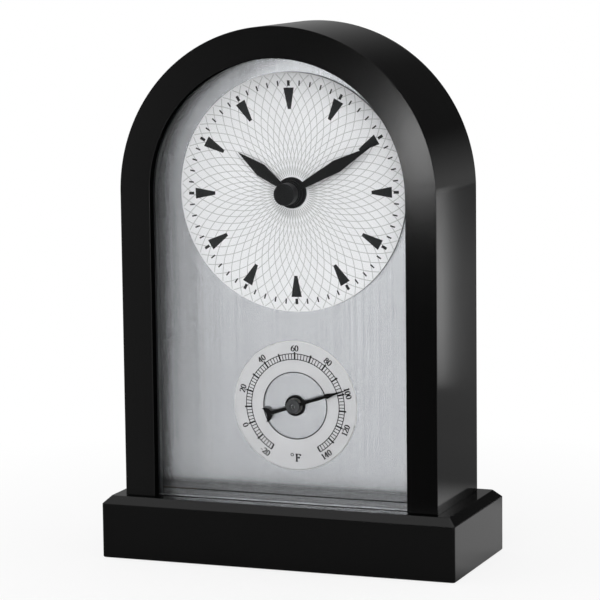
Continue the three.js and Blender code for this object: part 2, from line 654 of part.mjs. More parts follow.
// The rear half is open over the cell's tray, with a divider between the tray and the wheels
const halfWall = MOVEMENT_WALL / 2;
const wallMiddle = chamberHalf + halfWall;
const dividerEnd = chamberHalf - SEAT;
const rearShell = join([slab(housingCorner(movementHalf), splitDepth + SEAT, movementBack, CORNER_STEPS)], [
  slab(housingCorner(chamberHalf), splitDepth - CUT_OVERRUN, chamberBack, CORNER_STEPS),
  slab(rectangle(-chamberHalf, chamberHalf, -chamberHalf, trayTop), splitDepth, movementBack + CUT_OVERRUN),
]);
addPart(dial, "movement_rear", join([
  rearShell,
  slab(rectangle(-wallMiddle, wallMiddle, trayTop, dividerTop), splitDepth + SEAT, movementBack - halfWall),
  slab(rectangle(-dividerEnd, dividerEnd, trayTop, dividerTop), chamberFront + SEAT, chamberBack),
  ...statorPosts.map((place) => rod(STATOR_POST_RADIUS, statorBack + SEAT, chamberBack + halfWall, FINE_STEPS)
    .translate(place.x, place.y, 0)),
], [
  ...trainArbors.map((place) => pivotHole(place, PIVOT_RADIUS, insideBack, pivotBack + SEAT)),
  pivotHole(centreArbor, MINUTE_ARBOR_RADIUS, insideBack, pivotBack + SEAT),
  pivotHole(setArbor, SET_ARBOR_RADIUS, insideBack, movementBack + CUT_OVERRUN),
]), 0x2b2b2b, 0.6);

// Step motor: a coil across the top of the stator, whose eye holds the rotor's magnet
const stator = rectangle(rotorArbor.x - MAGNET_RADIUS - STATOR_MARGIN, coilPlace.x + COIL_LENGTH / 2,
  rotorArbor.y - MAGNET_RADIUS - STATOR_MARGIN, coilPlace.y + COIL_FLANGE_RADIUS);
circleHole(stator, rotorArbor.x, rotorArbor.y, MAGNET_RADIUS + 3 * HOLE);
stator.holes.push(rectangle(rotorArbor.x, coilPlace.x + COIL_LENGTH / 6,
  rotorArbor.y + MAGNET_RADIUS + STATOR_MARGIN, coilPlace.y - COIL_FLANGE_RADIUS));
addPart(dial, "stator", slab(stator, statorFront, statorBack, FINE_STEPS), 0x8d8f91, 0.4, 1);
const coilDepth = statorFront - SEAT - COIL_FLANGE_RADIUS;
const coilEnd = COIL_LENGTH / 2;
const windingEnd = coilEnd - COIL_FLANGE;
const coil = turned([
  [0, coilEnd], [COIL_FLANGE_RADIUS, coilEnd], [COIL_FLANGE_RADIUS, windingEnd],
  [COIL_RADIUS, windingEnd], [COIL_RADIUS, -windingEnd], [COIL_FLANGE_RADIUS, -windingEnd],
  [COIL_FLANGE_RADIUS, -coilEnd], [0, -coilEnd],
], FINE_STEPS).rotateY(Math.PI / 2);
addPart(dial, "drive_coil", coil, 0xa8622f, 0.4, 1).position.set(coilPlace.x, coilPlace.y, -coilDepth);

const boardFront = chamberFront + SEAT;
const boardLeft = rotorArbor.x + MAGNET_RADIUS;
const boardRight = chamberHalf - MOVEMENT_WALL;
const boardMiddle = (boardLeft + boardRight) / 2;
const boardBack = boardFront + BOARD_THICKNESS;
const chipHalf = CHIP_SIZE / 2;
addPart(dial, "circuit_board", join([
  slab(rectangle(boardLeft, boardRight, dividerTop + SEAT, coilPlace.y), boardFront, boardBack),
  slab(rectangle(boardMiddle - chipHalf, boardMiddle + chipHalf, -chipHalf, chipHalf),
    boardBack - BOARD_THICKNESS / 2, boardBack + BOARD_THICKNESS),
]), 0x2f6b3a, 0.5);

// Cell, lying across the tray, and its contacts on the end walls
const cell = turned([
  [0, CELL_LENGTH / 2], [CELL_RADIUS, CELL_LENGTH / 2], [CELL_RADIUS, -CELL_LENGTH / 2],
  [CELL_NUB_RADIUS, -CELL_LENGTH / 2], [CELL_NUB_RADIUS, -CELL_LENGTH / 2 - CELL_NUB_LENGTH],
  [0, -CELL_LENGTH / 2 - CELL_NUB_LENGTH],
]).rotateY(Math.PI / 2);
addPart(dial, "cell", cell, 0x8f9396, 0.35, 1).position.set(0, cellY, -cellDepth);

const contactFront = cellDepth - CELL_RADIUS / 2;
const contactBack = cellDepth + CELL_RADIUS / 2;
const contactHalf = CONTACT_WIDTH / 2;
const contactWall = chamberHalf - SEAT;
const contactFace = contactWall - CONTACT_THICKNESS;
const contactLow = cellY - contactHalf;
const contactHigh = cellY + contactHalf;
addPart(dial, "contact_positive", slab(rectangle(contactFace, contactWall, contactLow, contactHigh),
  contactFront, contactBack), 0xc0c0bc, 0.3, 1);
const springReach = CELL_LENGTH / 2 + CELL_CLEARANCE;
addPart(dial, "contact_negative", slab(polygon([
  [-contactWall, contactLow], [-contactFace, contactLow], [-springReach, cellY],
  [-contactFace, contactHigh], [-contactWall, contactHigh], [-springReach - CONTACT_THICKNESS, cellY],
]), contactFront, contactBack), 0xc0c0bc, 0.3, 1);

// Thermometer: a cup behind the plate with a neck through it, a bimetal spiral, and a needle on its arbor
const cupFront = plateBack + SEAT;
const cupBack = cupFront + CUP_DEPTH;
const cupFloor = cupFront + CUP_WALL;
const cupInner = CUP_RADIUS - CUP_WALL;
const bushNutFront = plateFront - SEAT - BUSH_NUT_THICKNESS;
const neckFront = bushNutFront - SEAT;
const neckBore = NEEDLE_ARBOR_RADIUS + RUNNING;
const needleBack = neckFront - NEEDLE_CLEARANCE;
const needleFront = needleBack - NEEDLE_THICKNESS;
const needleCapBack = needleFront - SEAT;
const needleCapFront = needleCapBack - NEEDLE_CAP_HEIGHT;
const needleArborFront = needleCapFront + NEEDLE_CAP_HEIGHT / 2;

addPart(thermometer, "thermometer_cup", turned([
  [neckBore, cupFloor], [cupInner, cupFloor], [cupInner, cupBack], [CUP_RADIUS, cupBack],
  [CUP_RADIUS, cupFront], [NECK_RADIUS, cupFront], [NECK_RADIUS, neckFront], [neckBore, neckFront],
  [neckBore, cupFloor],
]), 0xb08d4a, 0.4, 1);
addPart(thermometer, "thermometer_bush", ring(NECK_RADIUS + SEAT, BUSH_NUT_RADIUS, bushNutFront,
  bushNutFront + BUSH_NUT_THICKNESS), 0x232526, 0.45, 1);

// A flat spiral strip: radius grows evenly with angle, from the arbor's collar to the cup's wall
function spiralOutline(inner, outer, turns, thickness) {
  const count = Math.round(turns * SPIRAL_STEPS);
  const edge = (shift) => Array.from({ length: count + 1 }, (unused, i) => {
    const radius = inner + ((outer - inner) * i) / count + shift;
    const angle = (2 * Math.PI * i) / SPIRAL_STEPS;
    return [radius * Math.cos(angle), radius * Math.sin(angle)];
  });
  return polygon([...edge(thickness / 2), ...edge(-thickness / 2).reverse()]);
}

const bimetalFront = cupFloor + 2 * BIMETAL_GAP;
const bimetalBack = bimetalFront + BIMETAL_WIDTH;
const bimetalInner = ARBOR_COLLAR_RADIUS + BIMETAL_THICKNESS / 2 + BIMETAL_GAP;
const bimetalOuter = cupInner - BIMETAL_THICKNESS / 2 - BIMETAL_GAP;
const bimetal = spiralOutline(bimetalInner, bimetalOuter, BIMETAL_TURNS, BIMETAL_THICKNESS);
addPart(thermometer, "bimetal_coil", slab(bimetal, bimetalFront, bimetalBack), 0xb08d4a, 0.35, 1);
addPart(thermometer, "needle_arbor", turned([
  [0, bimetalBack], [ARBOR_COLLAR_RADIUS, bimetalBack], [ARBOR_COLLAR_RADIUS, bimetalFront],
  [NEEDLE_ARBOR_RADIUS, bimetalFront], [NEEDLE_ARBOR_RADIUS, needleArborFront], [0, needleArborFront],
], FINE_STEPS), 0xa8a8a6, 0.3, 1);

// Needle: a thin shaft to a barb that hollows to a slim point, and a crescent between two arcs on the tail
const needleBore = NEEDLE_ARBOR_RADIUS + SEAT;

function crescentArc(rise, start, front, back) {
  const radius = (rise ** 2 + (CRESCENT.span / 2) ** 2) / (2 * rise);
  return rod(radius, front, back).translate(0, -start - radius, 0);
}

function needleGeometry() {
  const side = (sign) => [
    [(sign * NEEDLE.shaftWidth) / 2, -CRESCENT.start - CRESCENT.thickness / 2],
    [(sign * NEEDLE.shaftWidth) / 2, NEEDLE.barb - NEEDLE.barbWidth / 2],
    [(sign * NEEDLE.barbWidth) / 2, NEEDLE.barb],
    [(sign * NEEDLE.neckWidth) / 2, NEEDLE.barb + NEEDLE.neck],
  ];
  const pointer = polygon([...side(1), [0, NEEDLE.reach], ...side(-1).reverse()]);
  const before = needleFront - CUT_OVERRUN;
  const behind = needleBack + CUT_OVERRUN;
  const disc = crescentArc(CRESCENT.thickness + CRESCENT.hollow, CRESCENT.start, needleFront, needleBack);
  const bite = crescentArc(CRESCENT.hollow, CRESCENT.start + CRESCENT.thickness, before, behind);
  const hub = rod(NEEDLE_HUB_RADIUS, needleFront, needleBack);
  return join([slab(pointer, needleFront, needleBack), join([disc], [bite]), hub],
    [rod(needleBore, before, behind, FINE_STEPS)]);
}

addHand("thermometer_needle", needleGeometry(), NEEDLE.angle, thermometer);
const needleCapShoulder = needleCapFront + CAP_DIMPLE_DEPTH;
addPart(thermometer, "needle_cap", turned([
  [needleBore, needleCapBack], [NEEDLE_CAP_RADIUS, needleCapBack], [NEEDLE_CAP_RADIUS, needleCapShoulder],
  [NEEDLE_CAP_RADIUS - CAP_DIMPLE_DEPTH, needleCapFront], [CAP_DIMPLE_RADIUS, needleCapFront],
  [0, needleCapShoulder], [0, needleArborFront - SEAT], [needleBore, needleArborFront - SEAT],
  [needleBore, needleCapBack],
]), 0x2a2d2e, 0.4, 1);

export default clock;
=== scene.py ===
# %% [markdown]
# # An arched desk clock with a thermometer
# A black lacquered arch on a plinth holds, behind glass, a brushed plate with a dial, two hands and a small
# thermometer. The solids come from CAD as a fixed frame. Here each gets its finish, and the curved ones are
# made again as smooth surfaces.

# %% Load the frame
import json

import bmesh
import bpy
import numpy as np
from mathutils import Matrix, Vector


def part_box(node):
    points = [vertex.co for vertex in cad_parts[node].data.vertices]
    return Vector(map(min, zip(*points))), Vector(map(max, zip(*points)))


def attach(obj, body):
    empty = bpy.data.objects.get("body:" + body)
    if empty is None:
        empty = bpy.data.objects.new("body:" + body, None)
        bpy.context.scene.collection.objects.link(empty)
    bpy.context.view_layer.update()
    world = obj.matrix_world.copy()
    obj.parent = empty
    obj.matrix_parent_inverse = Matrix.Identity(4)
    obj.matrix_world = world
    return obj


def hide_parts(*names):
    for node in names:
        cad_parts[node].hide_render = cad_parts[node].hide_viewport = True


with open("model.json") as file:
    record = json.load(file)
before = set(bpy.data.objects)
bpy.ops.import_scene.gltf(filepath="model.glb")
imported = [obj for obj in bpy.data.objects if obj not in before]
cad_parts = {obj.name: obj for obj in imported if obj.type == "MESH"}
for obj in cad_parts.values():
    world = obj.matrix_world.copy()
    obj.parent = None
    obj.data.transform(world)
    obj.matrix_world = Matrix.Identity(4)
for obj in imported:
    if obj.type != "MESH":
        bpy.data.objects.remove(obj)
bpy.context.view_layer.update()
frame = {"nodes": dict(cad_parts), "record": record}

MM = 0.001


def new_object(name, data):
    """An object with some data, linked to the scene."""
    made = bpy.data.objects.new(name, data)
    bpy.context.scene.collection.objects.link(made)
    return made


nodes = frame["nodes"]

# %% [markdown]
# ## The camera
# The photograph looks from the right and a little above, through a long lens. Eye, direction and lens were
# fitted to edges of the clock. A camera looks along its own -Z, so its matrix has right, up and backward as
# columns.

# %% Camera
EYE = np.array([370.96, -968.77, 235.30]) * MM
FORWARD = np.array([-0.35439, 0.92502, -0.13692])
RIGHT = np.array([0.93432, 0.35625, -0.01151])
LENS = 177.24
LENS_DROP = 0.4 / 600
SENSOR = 36

lens = bpy.data.cameras.new("studio_camera")
lens.lens, lens.sensor_width, lens.shift_y = LENS, SENSOR, LENS_DROP
camera = new_object("studio_camera", lens)
placing = np.eye(4)
placing[:3] = np.stack([RIGHT, np.cross(RIGHT, FORWARD), -FORWARD, EYE], axis=1)
camera.matrix_world = Matrix(placing.tolist())
bpy.context.scene.camera = camera
print("camera at", EYE)

# %% [markdown]
# ## Meshes from arrays
# Every new piece is a grid of points worked out as whole arrays. A shell is such a grid with its faces and
# end caps. One function makes shells an object, with seams merged, faces outwards and round stretches
# smooth.

# %% From arrays to pieces
SHARP_ANGLE = np.radians(28)
SEAM = 1e-7
EDGE_ON = 0.5


def grid_faces(rows, columns, wrap_rows=False):
    """Quads between neighbours of a grid numbered row by row. Each row closes on itself; wrap_rows joins the
    last row to the first."""
    index = np.arange(rows * columns).reshape(rows, columns)
    if wrap_rows:
        index = np.vstack([index, index[:1]])
    index = np.hstack([index, index[:, :1]])
    corners = [index[:-1, :-1], index[:-1, 1:], index[1:, 1:], index[1:, :-1]]
    return np.stack(corners, axis=-1).reshape(-1, 4)


def shell(points, wrap_rows=False, capped=False):
    """A grid of points (rows, columns, 3) as flat points and face arrays; caps close its two ends."""
    rows, columns = points.shape[:2]
    faces = [grid_faces(rows, columns, wrap_rows)]
    if capped:
        row = np.arange(columns)[None]
        faces += [row[:, ::-1], row + columns * (rows - 1)]
    return points.reshape(-1, 3), faces


def mesh_of(name, shells):
    """One mesh of several shells, with doubles merged and faces outwards."""
    starts = np.cumsum([0] + [len(points) for points, _ in shells])
    points = np.vstack([points for points, _ in shells])
    faces = [face for start, (_, arrays) in zip(starts, shells) for array in arrays
             for face in (array + start).tolist()]
    mesh = bpy.data.meshes.new(name)
    mesh.from_pydata(points.tolist(), [], faces)
    work = bmesh.new()
    work.from_mesh(mesh)
    bmesh.ops.remove_doubles(work, verts=work.verts, dist=SEAM)
    bmesh.ops.dissolve_degenerate(work, edges=work.edges, dist=SEAM)
    loose = [edge for edge in work.edges if not edge.link_faces]
    bmesh.ops.delete(work, geom=loose, context="EDGES")
    bmesh.ops.recalc_face_normals(work, faces=work.faces)
    work.to_mesh(mesh)
    work.free()
    return mesh


def shade(piece):
    """Smooths all but sharp edges, and weighs each corner's normal by its faces' areas, so that a wide flat
    stays flat beside a rounding."""
    piece.data.shade_smooth()
    piece.data.set_sharp_from_angle(angle=SHARP_ANGLE)
    weighing = piece.modifiers.new("flat_faces", "WEIGHTED_NORMAL")
    weighing.keep_sharp = True
    weighing.weight = 100


def add_piece(name, shells, material, stands_for=(), body="case"):
    """Makes shells one piece that rides on a body. Where it stands for solids, those are hidden."""
    piece = new_object(name, mesh_of(name, shells))
    piece.data.materials.append(material)
    shade(piece)
    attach(piece, body)
    if stands_for:
        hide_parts(*stands_for)
    print(name, "has", len(piece.data.polygons), "faces")
    return piece


def rows_of(elements, what):
    """A vector property of a mesh's vertices or faces, as rows of one array."""
    rows = np.zeros((len(elements), 3))
    elements.foreach_get(what, rows.ravel())
    return rows


def paint_some(piece, material, chosen):
    """Gives a second material to the faces whose normal and centre, as arrays, pass a test."""
    faces = piece.data.polygons
    piece.data.materials.append(material)
    passed = chosen(rows_of(faces, "normal"), rows_of(faces, "center"))
    faces.foreach_set("material_index", passed.astype(np.int32))


def sideways(normal, limit=EDGE_ON):
    """True for faces that look to a side rather than forwards or back."""
    return np.abs(normal[:, 1]) < limit


def box_of(node):
    """A solid's lowest and highest corner, as two rows."""
    return np.array(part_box(node))


# %% [markdown]
# ## Rounded outlines and three ways to carry them
# Real edges are never sharp, so an outline gets an arc at every corner. Outlines are then carried round an
# axis (turned pieces), along the arch (its frame) or through a thickness (plates).

# %% Outlines and carriers
ARCH_STEPS = 96
TURN_STEPS = 72


def unit(vectors):
    """Vectors in the last axis, each divided by its length."""
    return vectors / np.linalg.norm(vectors, axis=-1, keepdims=True)


def rounded(corners, radii, steps=5):
    """A closed outline with an arc at each corner, which touches both sides at radius / tan(half angle).
    Radii are in millimetres."""
    corners = np.asarray(corners, float)
    radii = np.broadcast_to(radii, len(corners)) * MM
    before = unit(np.roll(corners, 1, axis=0) - corners)
    after = unit(np.roll(corners, -1, axis=0) - corners)
    half = np.arccos(np.clip((before * after).sum(axis=1), -1, 1)) / 2
    centre = corners + unit(before + after) * (radii / np.sin(half))[:, None]
    reach = (radii / np.tan(half))[:, None]
    start = corners + before * reach - centre
    end = corners + after * reach - centre
    sweep = (np.pi - 2 * half)[:, None]
    share = np.linspace(0, 1, steps + 1)[None, :]
    from_start = np.sin((1 - share) * sweep) / np.sin(sweep)
    from_end = np.sin(share * sweep) / np.sin(sweep)
    arcs = centre[:, None] + start[:, None] * from_start[..., None] + end[:, None] * from_end[..., None]
    return arcs.reshape(-1, 2)


def round_solid(node, axis="Y"):
    """A round solid's centre, with 0 along its axis, its radius, and where it begins and ends on the axis."""
    low, high = box_of(node)
    along = "XYZ".index(axis)
    middle = (low + high) / 2
    middle[along] = 0
    return middle, (high - low)[0 if along else 2] / 2, low[along], high[along]


def turned(profile, centre, axis="Y", steps=TURN_STEPS):
    """A closed profile of (radius, height) points turned about an axis through centre: (r cos t, r sin t, h),
    rolled round until h lies along the axis."""
    radius, height = np.asarray(profile, float).T
    angle = np.linspace(0, 2 * np.pi, steps, endpoint=False)[:, None]
    points = np.stack([np.cos(angle) * radius, np.sin(angle) * radius, angle * 0 + height], axis=-1)
    points = np.roll(points, {"Z": 0, "X": 1, "Y": 2}[axis], axis=-1)
    return shell(points + np.asarray(centre), wrap_rows=True)


def washer(bore, radius, low, high, edges):
    """The profile of a ring, or of a disc where the bore is 0: a rectangle with two rounded outer edges."""
    return rounded([[bore, low], [radius, low], [radius, high], [bore, high]], [0, edges[0], edges[1], 0])


def arch_path():
    """Up one leg, round the half circle and down the other: cosine, sine, and 1 where a leg stands."""
    turn = np.linspace(0, np.pi, ARCH_STEPS + 1)
    parts = [([1], np.cos(turn), [-1]), ([0], np.sin(turn), [0]), ([1], 0 * turn, [1])]
    return np.array([np.concatenate(part) for part in parts])


def arch_sweep(section, foot, centre):
    """A closed section of (radius, y) points carried along the arch."""
    across, rise, at_foot = arch_path()[..., None]
    radius, depth = section.T
    base = at_foot * foot + (1 - at_foot) * centre
    points = np.stack([across * radius, 0 * across + depth, base + rise * radius], axis=-1)
    return shell(points, capped=True)


def arch_slab(radius, foot, centre, front, back, ease):
    """An arch-shaped plate with eased edges: its outline is drawn in by the inset of each level of y."""
    levels = np.array([[ease, front], [0, front + ease], [0, back - ease], [ease, back]])
    inset, depth = levels.T[..., None]
    across, rise, at_foot = arch_path()
    height = at_foot * (foot + inset) + (1 - at_foot) * centre + rise * (radius - inset)
    points = np.stack([across * (radius - inset), 0 * across + depth, height], axis=-1)
    return shell(points, capped=True)


# %% [markdown]
# ## A small kit for materials
# Colours are sRGB hex codes, turned to linear light by one function. Another adds any node, and the rest
# use it. Patterns read Object coordinates in metres, so a texture's scale is one over a real size.

# %% Material kit
NOISE_MIDDLE = [0.3, 0.7]


def linear(code):
    """An sRGB hex code as linear red, green, blue and alpha."""
    channels = np.array([int(code[i:i + 2], 16) for i in (1, 3, 5)]) / 255
    bright = ((channels + 0.055) / 1.055) ** 2.4
    return (*np.where(channels <= 0.04045, channels / 12.92, bright).tolist(), 1.0)


def add(tree, kind, inputs=None, **settings):
    """Adds a node. Settings are its properties; inputs gives sockets a value, or another node's output."""
    node = tree.nodes.new("ShaderNode" + kind)
    for name, value in settings.items():
        setattr(node, name, value)
    for socket, value in (inputs or {}).items():
        if isinstance(value, bpy.types.NodeSocket):
            tree.links.new(value, node.inputs[socket])
        else:
            node.inputs[socket].default_value = value
    return node


def ramp(tree, value, begin, end, low=0.0, high=1.0):
    """Goes from low to high while a value goes from begin to end, and stays level outside them."""
    limits = {"From Min": begin, "From Max": end, "To Min": low, "To Max": high}
    return add(tree, "MapRange", {"Value": value} | limits).outputs[0]


def calc(tree, operation, total, *others):
    """Joins values by one operation of a Math node, from left to right."""
    for other in others:
        total = add(tree, "Math", {0: total, 1: other}, operation=operation).outputs[0]
    return total


def start_material(name, colour, **sockets):
    """A new material and its Principled shader, with one colour and other sockets set."""
    material = bpy.data.materials.new(name)
    material.use_nodes = True
    shader = material.node_tree.nodes["Principled BSDF"]
    shader.inputs["Base Color"].default_value = linear(colour)
    for socket, value in sockets.items():
        shader.inputs[socket.replace("_", " ")].default_value = value
    return material, shader


def vary(material, patch, detail, colours=(), roughness=(), relief=0):
    """Lets a noise with patches of a size in millimetres (one, or one for each axis) vary a finish: between
    two colours, between two roughnesses, and in height, in millimetres."""
    tree = material.node_tree
    shader = tree.nodes["Principled BSDF"]
    scale = 1 / (np.broadcast_to(patch, 3) * MM)
    place = add(tree, "Mapping", {0: add(tree, "TexCoord").outputs["Object"], "Scale": scale.tolist()})
    noise = add(tree, "TexNoise", {"Vector": place.outputs[0], "Scale": 1.0, "Detail": detail}).outputs["Fac"]
    if colours:
        share = ramp(tree, noise, *NOISE_MIDDLE)
        mixed = add(tree, "MixRGB", {0: share, 1: linear(colours[0]), 2: linear(colours[1])})
        tree.links.new(mixed.outputs[0], shader.inputs["Base Color"])
    if roughness:
        tree.links.new(ramp(tree, noise, *NOISE_MIDDLE, *roughness), shader.inputs["Roughness"])
    if relief:
        bump = add(tree, "Bump", {"Height": noise, "Distance": relief * MM})
        tree.links.new(bump.outputs[0], shader.inputs["Normal"])


def varied(name, colours, patch, roughness=(), relief=0, detail=2, **sockets):
    """A material that one noise varies in colour and, if they are given, in roughness and height."""
    material, _ = start_material(name, colours[0], **sockets)
    vary(material, patch, detail, colours, roughness, relief)
    return material


# %% [markdown]
# ## Black lacquer
# Arch and plinth are board, sprayed with black lacquer: a smooth film with a soft sheen. A wave of about
# two millimetres ("orange peel") bends its highlights, and handling varies the sheen. Inside the opening
# the routed board is only painted, and stays matt.

# %% Lacquer
lacquer, _ = start_material("sprayed_black_lacquer", "#080808", IOR=1.5)
vary(lacquer, 30, 3, roughness=(0.095, 0.11))
vary(lacquer, 1.8, 1, relief=0.003)
routed_black = varied("routed_board_painted_matt_black", ("#060606", "#0a0a0a"), 0.5, (0.8, 0.9), 0.01,
                      Specular_IOR_Level=0.0)

# %% [markdown]
# ## Brushed aluminium
# The plate was brushed straight up and down. Scratches too fine to see spread reflections sideways: the
# shader is anisotropic, with its tangent across the brushing. Long streaks 0.4 mm wide vary its tint and
# polish.

# %% Brushed plate
STREAK = [0.4, 0.4, 400]
brushed, brushed_shader = start_material("brushed_aluminium", "#d2d4d8", Metallic=1.0, Anisotropic=1.0)
vary(brushed, STREAK, 3, ("#cccfd2", "#dadce0"), (0.23, 0.25))
across = add(brushed.node_tree, "Tangent", direction_type="RADIAL", axis="Z").outputs[0]
brushed.node_tree.links.new(across, brushed_shader.inputs["Tangent"])

# %% [markdown]
# ## Dial, scale and print
# The dial is a thin disc, silvered white, and its rim is painted dark grey: a painted shadow for the shade
# the disc casts on the plate. The thermometer's scale is a matt grey ring with a bright cut bevel. Marks are
# screen printed, dark and slightly raised; the rosette is a pale ink.

# %% Dial and print
silvered = varied("silvered_dial_enamel", ("#edeef0", "#f2f3f5"), 18, Roughness=0.45)
vary(silvered, 0.4, 1, relief=0.002)
# Painted shadow: the dark grey of the disc's rim stands in for the shade the disc casts on the plate.
painted_rim_shadow = varied("dial_rim_painted_shadow", ("#343536", "#424344"), 0.4, (0.5, 0.6))
pale_ink = varied("pale_grey_ink", ("#b6b8b8", "#c1c3c2"), 0.5, Roughness=0.5)
dull = {"Roughness": 0.6, "Specular_IOR_Level": 0.1}
charcoal_ink = varied("charcoal_screen_ink", ("#232425", "#2a2b2c"), 0.6, **dull)
black_ink = varied("black_screen_ink", ("#0a0a0b", "#0f0f10"), 0.6, **dull)
matt_grey = varied("matt_grey_anodised_aluminium", ("#d0d1d3", "#d7d8da"), 9, Roughness=0.6)
vary(matt_grey, 0.25, 1, relief=0.003)
diamond_cut = varied("diamond_cut_aluminium", ("#eceded", "#f4f5f5"), 5, (0.26, 0.36), Metallic=0.3)

# %% [markdown]
# ## Hands, caps and the metal parts
# The hands are stamped steel painted satin black; the needle and its nut are matt black, its cap dark grey.
# Screws are zinc plated, arbors plain steel, the thermometer's cup and spiral plated brass. Bare metal
# varies in small patches.

# %% Painted and plated metal
black_paint, _ = start_material("satin_black_paint_on_steel", "#0e0f10", Specular_IOR_Level=0.15)
vary(black_paint, 4, 2, roughness=(0.36, 0.46))
vary(black_paint, 0.6, 1, relief=0.0006)
matt_black = varied("matt_black_paint_on_aluminium", ("#050506", "#09090a"), 1.5, (0.6, 0.75),
                    Specular_IOR_Level=0.05)
cap_paint = varied("dark_grey_oxidised_steel", ("#2f3133", "#37393b"), 1.2, (0.4, 0.5))

zinc_plate = varied("zinc_plated_steel", ("#b9bbb8", "#a3a5a1"), 1.5, (0.24, 0.4), Metallic=1.0)
turned_steel = varied("turned_steel", ("#a9aaac", "#b8b9bb"), 1, (0.22, 0.34), Metallic=1.0)
cup_brass = varied("nickel_plated_brass", ("#b2b0a8", "#a09d92"), 3, (0.24, 0.38), Metallic=1.0)
copper_winding = varied("enamelled_copper_wire", ("#a85f2c", "#c07a3f"), 0.6, (0.27, 0.43), Metallic=1.0)
cell_steel = varied("nickel_plated_can", ("#a8abae", "#8f9295"), 6, (0.25, 0.35), Metallic=1.0)

# %% [markdown]
# ## Plastics, rubber and boards
# Moulded plastic has a fine spark-eroded grain, rubber is matt, hardboard has pressed fibres, softwood has
# rings along its length. Each has a colour that drifts and a grain that can be felt.

# %% Plastics, rubber, boards
movement_plastic = varied("moulded_black_abs", ("#272728", "#313132"), 0.3, (0.44, 0.56), 0.006)
gear_plastic = varied("moulded_white_acetal", ("#dcd9cf", "#e6e3da"), 0.5, (0.34, 0.46), 0.003)
retainer_plastic = varied("extruded_black_pvc", ("#191a1b", "#202122"), [0.5, 0.5, 8], (0.5, 0.6), 0.002,
                          Specular_IOR_Level=0.3)
cell_film = varied("printed_polymer_film", ("#282e35", "#30373e"), 7, (0.3, 0.42))
pad_rubber = varied("moulded_black_rubber", ("#171717", "#202020"), 0.4, (0.78, 0.9), 0.01)
laminate = varied("green_circuit_laminate", ("#2c6136", "#35703f"), 0.4, (0.34, 0.46), 0.004)
hardboard = varied("black_faced_hardboard", ("#1f1e20", "#2f2d2e"), [1.2, 0.6, 0.8], (0.55, 0.7), 0.02, 3)
softwood = varied("planed_softwood", ("#7d5d3b", "#9c7b53"), [2.5, 2.5, 45], (0.62, 0.75), 0.03, 5)

# %% [markdown]
# ## Clear glass
# The pane is clear float glass. Lamp light goes straight through: a shadow ray meets a transparent shader,
# while every other ray is bent and reflected. Its cut edge was ground and looks dark grey-green.

# %% Glass
clear_glass, glass_shader = start_material("clear_float_glass", "#ffffff", Roughness=0.0, IOR=1.5,
                                           Transmission_Weight=1.0)
tree = clear_glass.node_tree
shadow_ray = add(tree, "LightPath").outputs["Is Shadow Ray"]
passing = add(tree, "BsdfTransparent").outputs[0]
either = add(tree, "MixShader", {0: shadow_ray, 1: glass_shader.outputs[0], 2: passing})
tree.links.new(either.outputs[0], tree.nodes["Material Output"].inputs["Surface"])
ground_edge = varied("ground_glass_edge", ("#151817", "#1d201f"), 0.3, (0.5, 0.6), 0.004)
print("materials:", len(bpy.data.materials))

# %% [markdown]
# ## Finishes for the solids of the frame
# The frame's record gives each solid a slot. A solid keeps its own mesh and only gets the finish of its
# slot here, so that nothing in the clock is left plain.

# %% Finish of each slot
finishes = {
    "black_lacquer": lacquer, "black_board": hardboard, "batten_wood": softwood, "plated_steel": zinc_plate,
    "pad_rubber": pad_rubber, "clear_glass": clear_glass, "retainer_plastic": retainer_plastic,
    "brushed_aluminium": brushed, "dial_silver": silvered, "scale_grey": matt_grey,
    "black_hands": black_paint, "movement_plastic": movement_plastic, "gear_plastic": gear_plastic,
    "steel": turned_steel, "copper_wire": copper_winding, "circuit_laminate": laminate,
    "cell_can": cell_steel, "brass": cup_brass,
}
slot_of = {part["node"]: part["material_slot"] for part in frame["record"]["subparts"]}
for node, solid in nodes.items():
    solid.data.materials.clear()
    solid.data.materials.append(finishes[slot_of[node]])
print("finished", len(nodes), "solids with", len(finishes), "finishes")

# %% [markdown]
# ## The arch
# The case is one routed ring of board: a front lip, a rabbet for the glass, a step for the plate and a wide
# cavity. That is one section carried up a leg, over the half circle and down again, with rounded corners
# that catch the light. The lip's inner wall is matt.

# %% Arch
FRAME_WIDTH, SEAT, PLATE_PLAY = 11.2, 0.1, 0.2
ARCH_EDGES = [0.15, 0.8, 0.4, 0.1, 0.15, 0.1, 0.15, 0.12]
WALL_INSET, WALL_TILT = 5, 0.3

arch_low, arch_high = box_of("arch_case")
pane_low, pane_high = box_of("glass_pane")
plate_low, plate_high = box_of("dial_plate")
arch_foot, arch_centre = arch_low[2], arch_high[2] - arch_high[0]
opening = arch_high[0] - FRAME_WIDTH * MM
rabbet = pane_high[0] + SEAT * MM
cavity = plate_high[0] + PLATE_PLAY * MM
lip_back = pane_low[1] - SEAT * MM
step_face = plate_low[1] - SEAT * MM
side, front, back = arch_high[0], arch_low[1], arch_high[1]
arch_section = rounded(
    [[side, front], [side, back], [cavity, back], [cavity, step_face], [rabbet, step_face],
     [rabbet, lip_back], [opening, lip_back], [opening, front]], ARCH_EDGES)
arch = add_piece("lacquered_arch", [arch_sweep(arch_section, arch_foot, arch_centre)], lacquer,
                 ["arch_case"])
inside = arch_high - WALL_INSET * MM
paint_some(arch, routed_black, lambda normal, place: sideways(normal, WALL_TILT) & (place[:, 1] < lip_back)
           & (np.abs(place[:, 0]) < inside[0]) & (place[:, 2] < inside[2]))

# %% [markdown]
# ## Glass and retainer
# The pane is cut to the arch with its edges just broken. A flat strip behind it, bent round the rabbet,
# holds it: the same carrier as the arch, with a small rectangle as its section.

# %% Pane and retainer
PANE_EASE, STRIP_EDGE = 0.15, 0.15

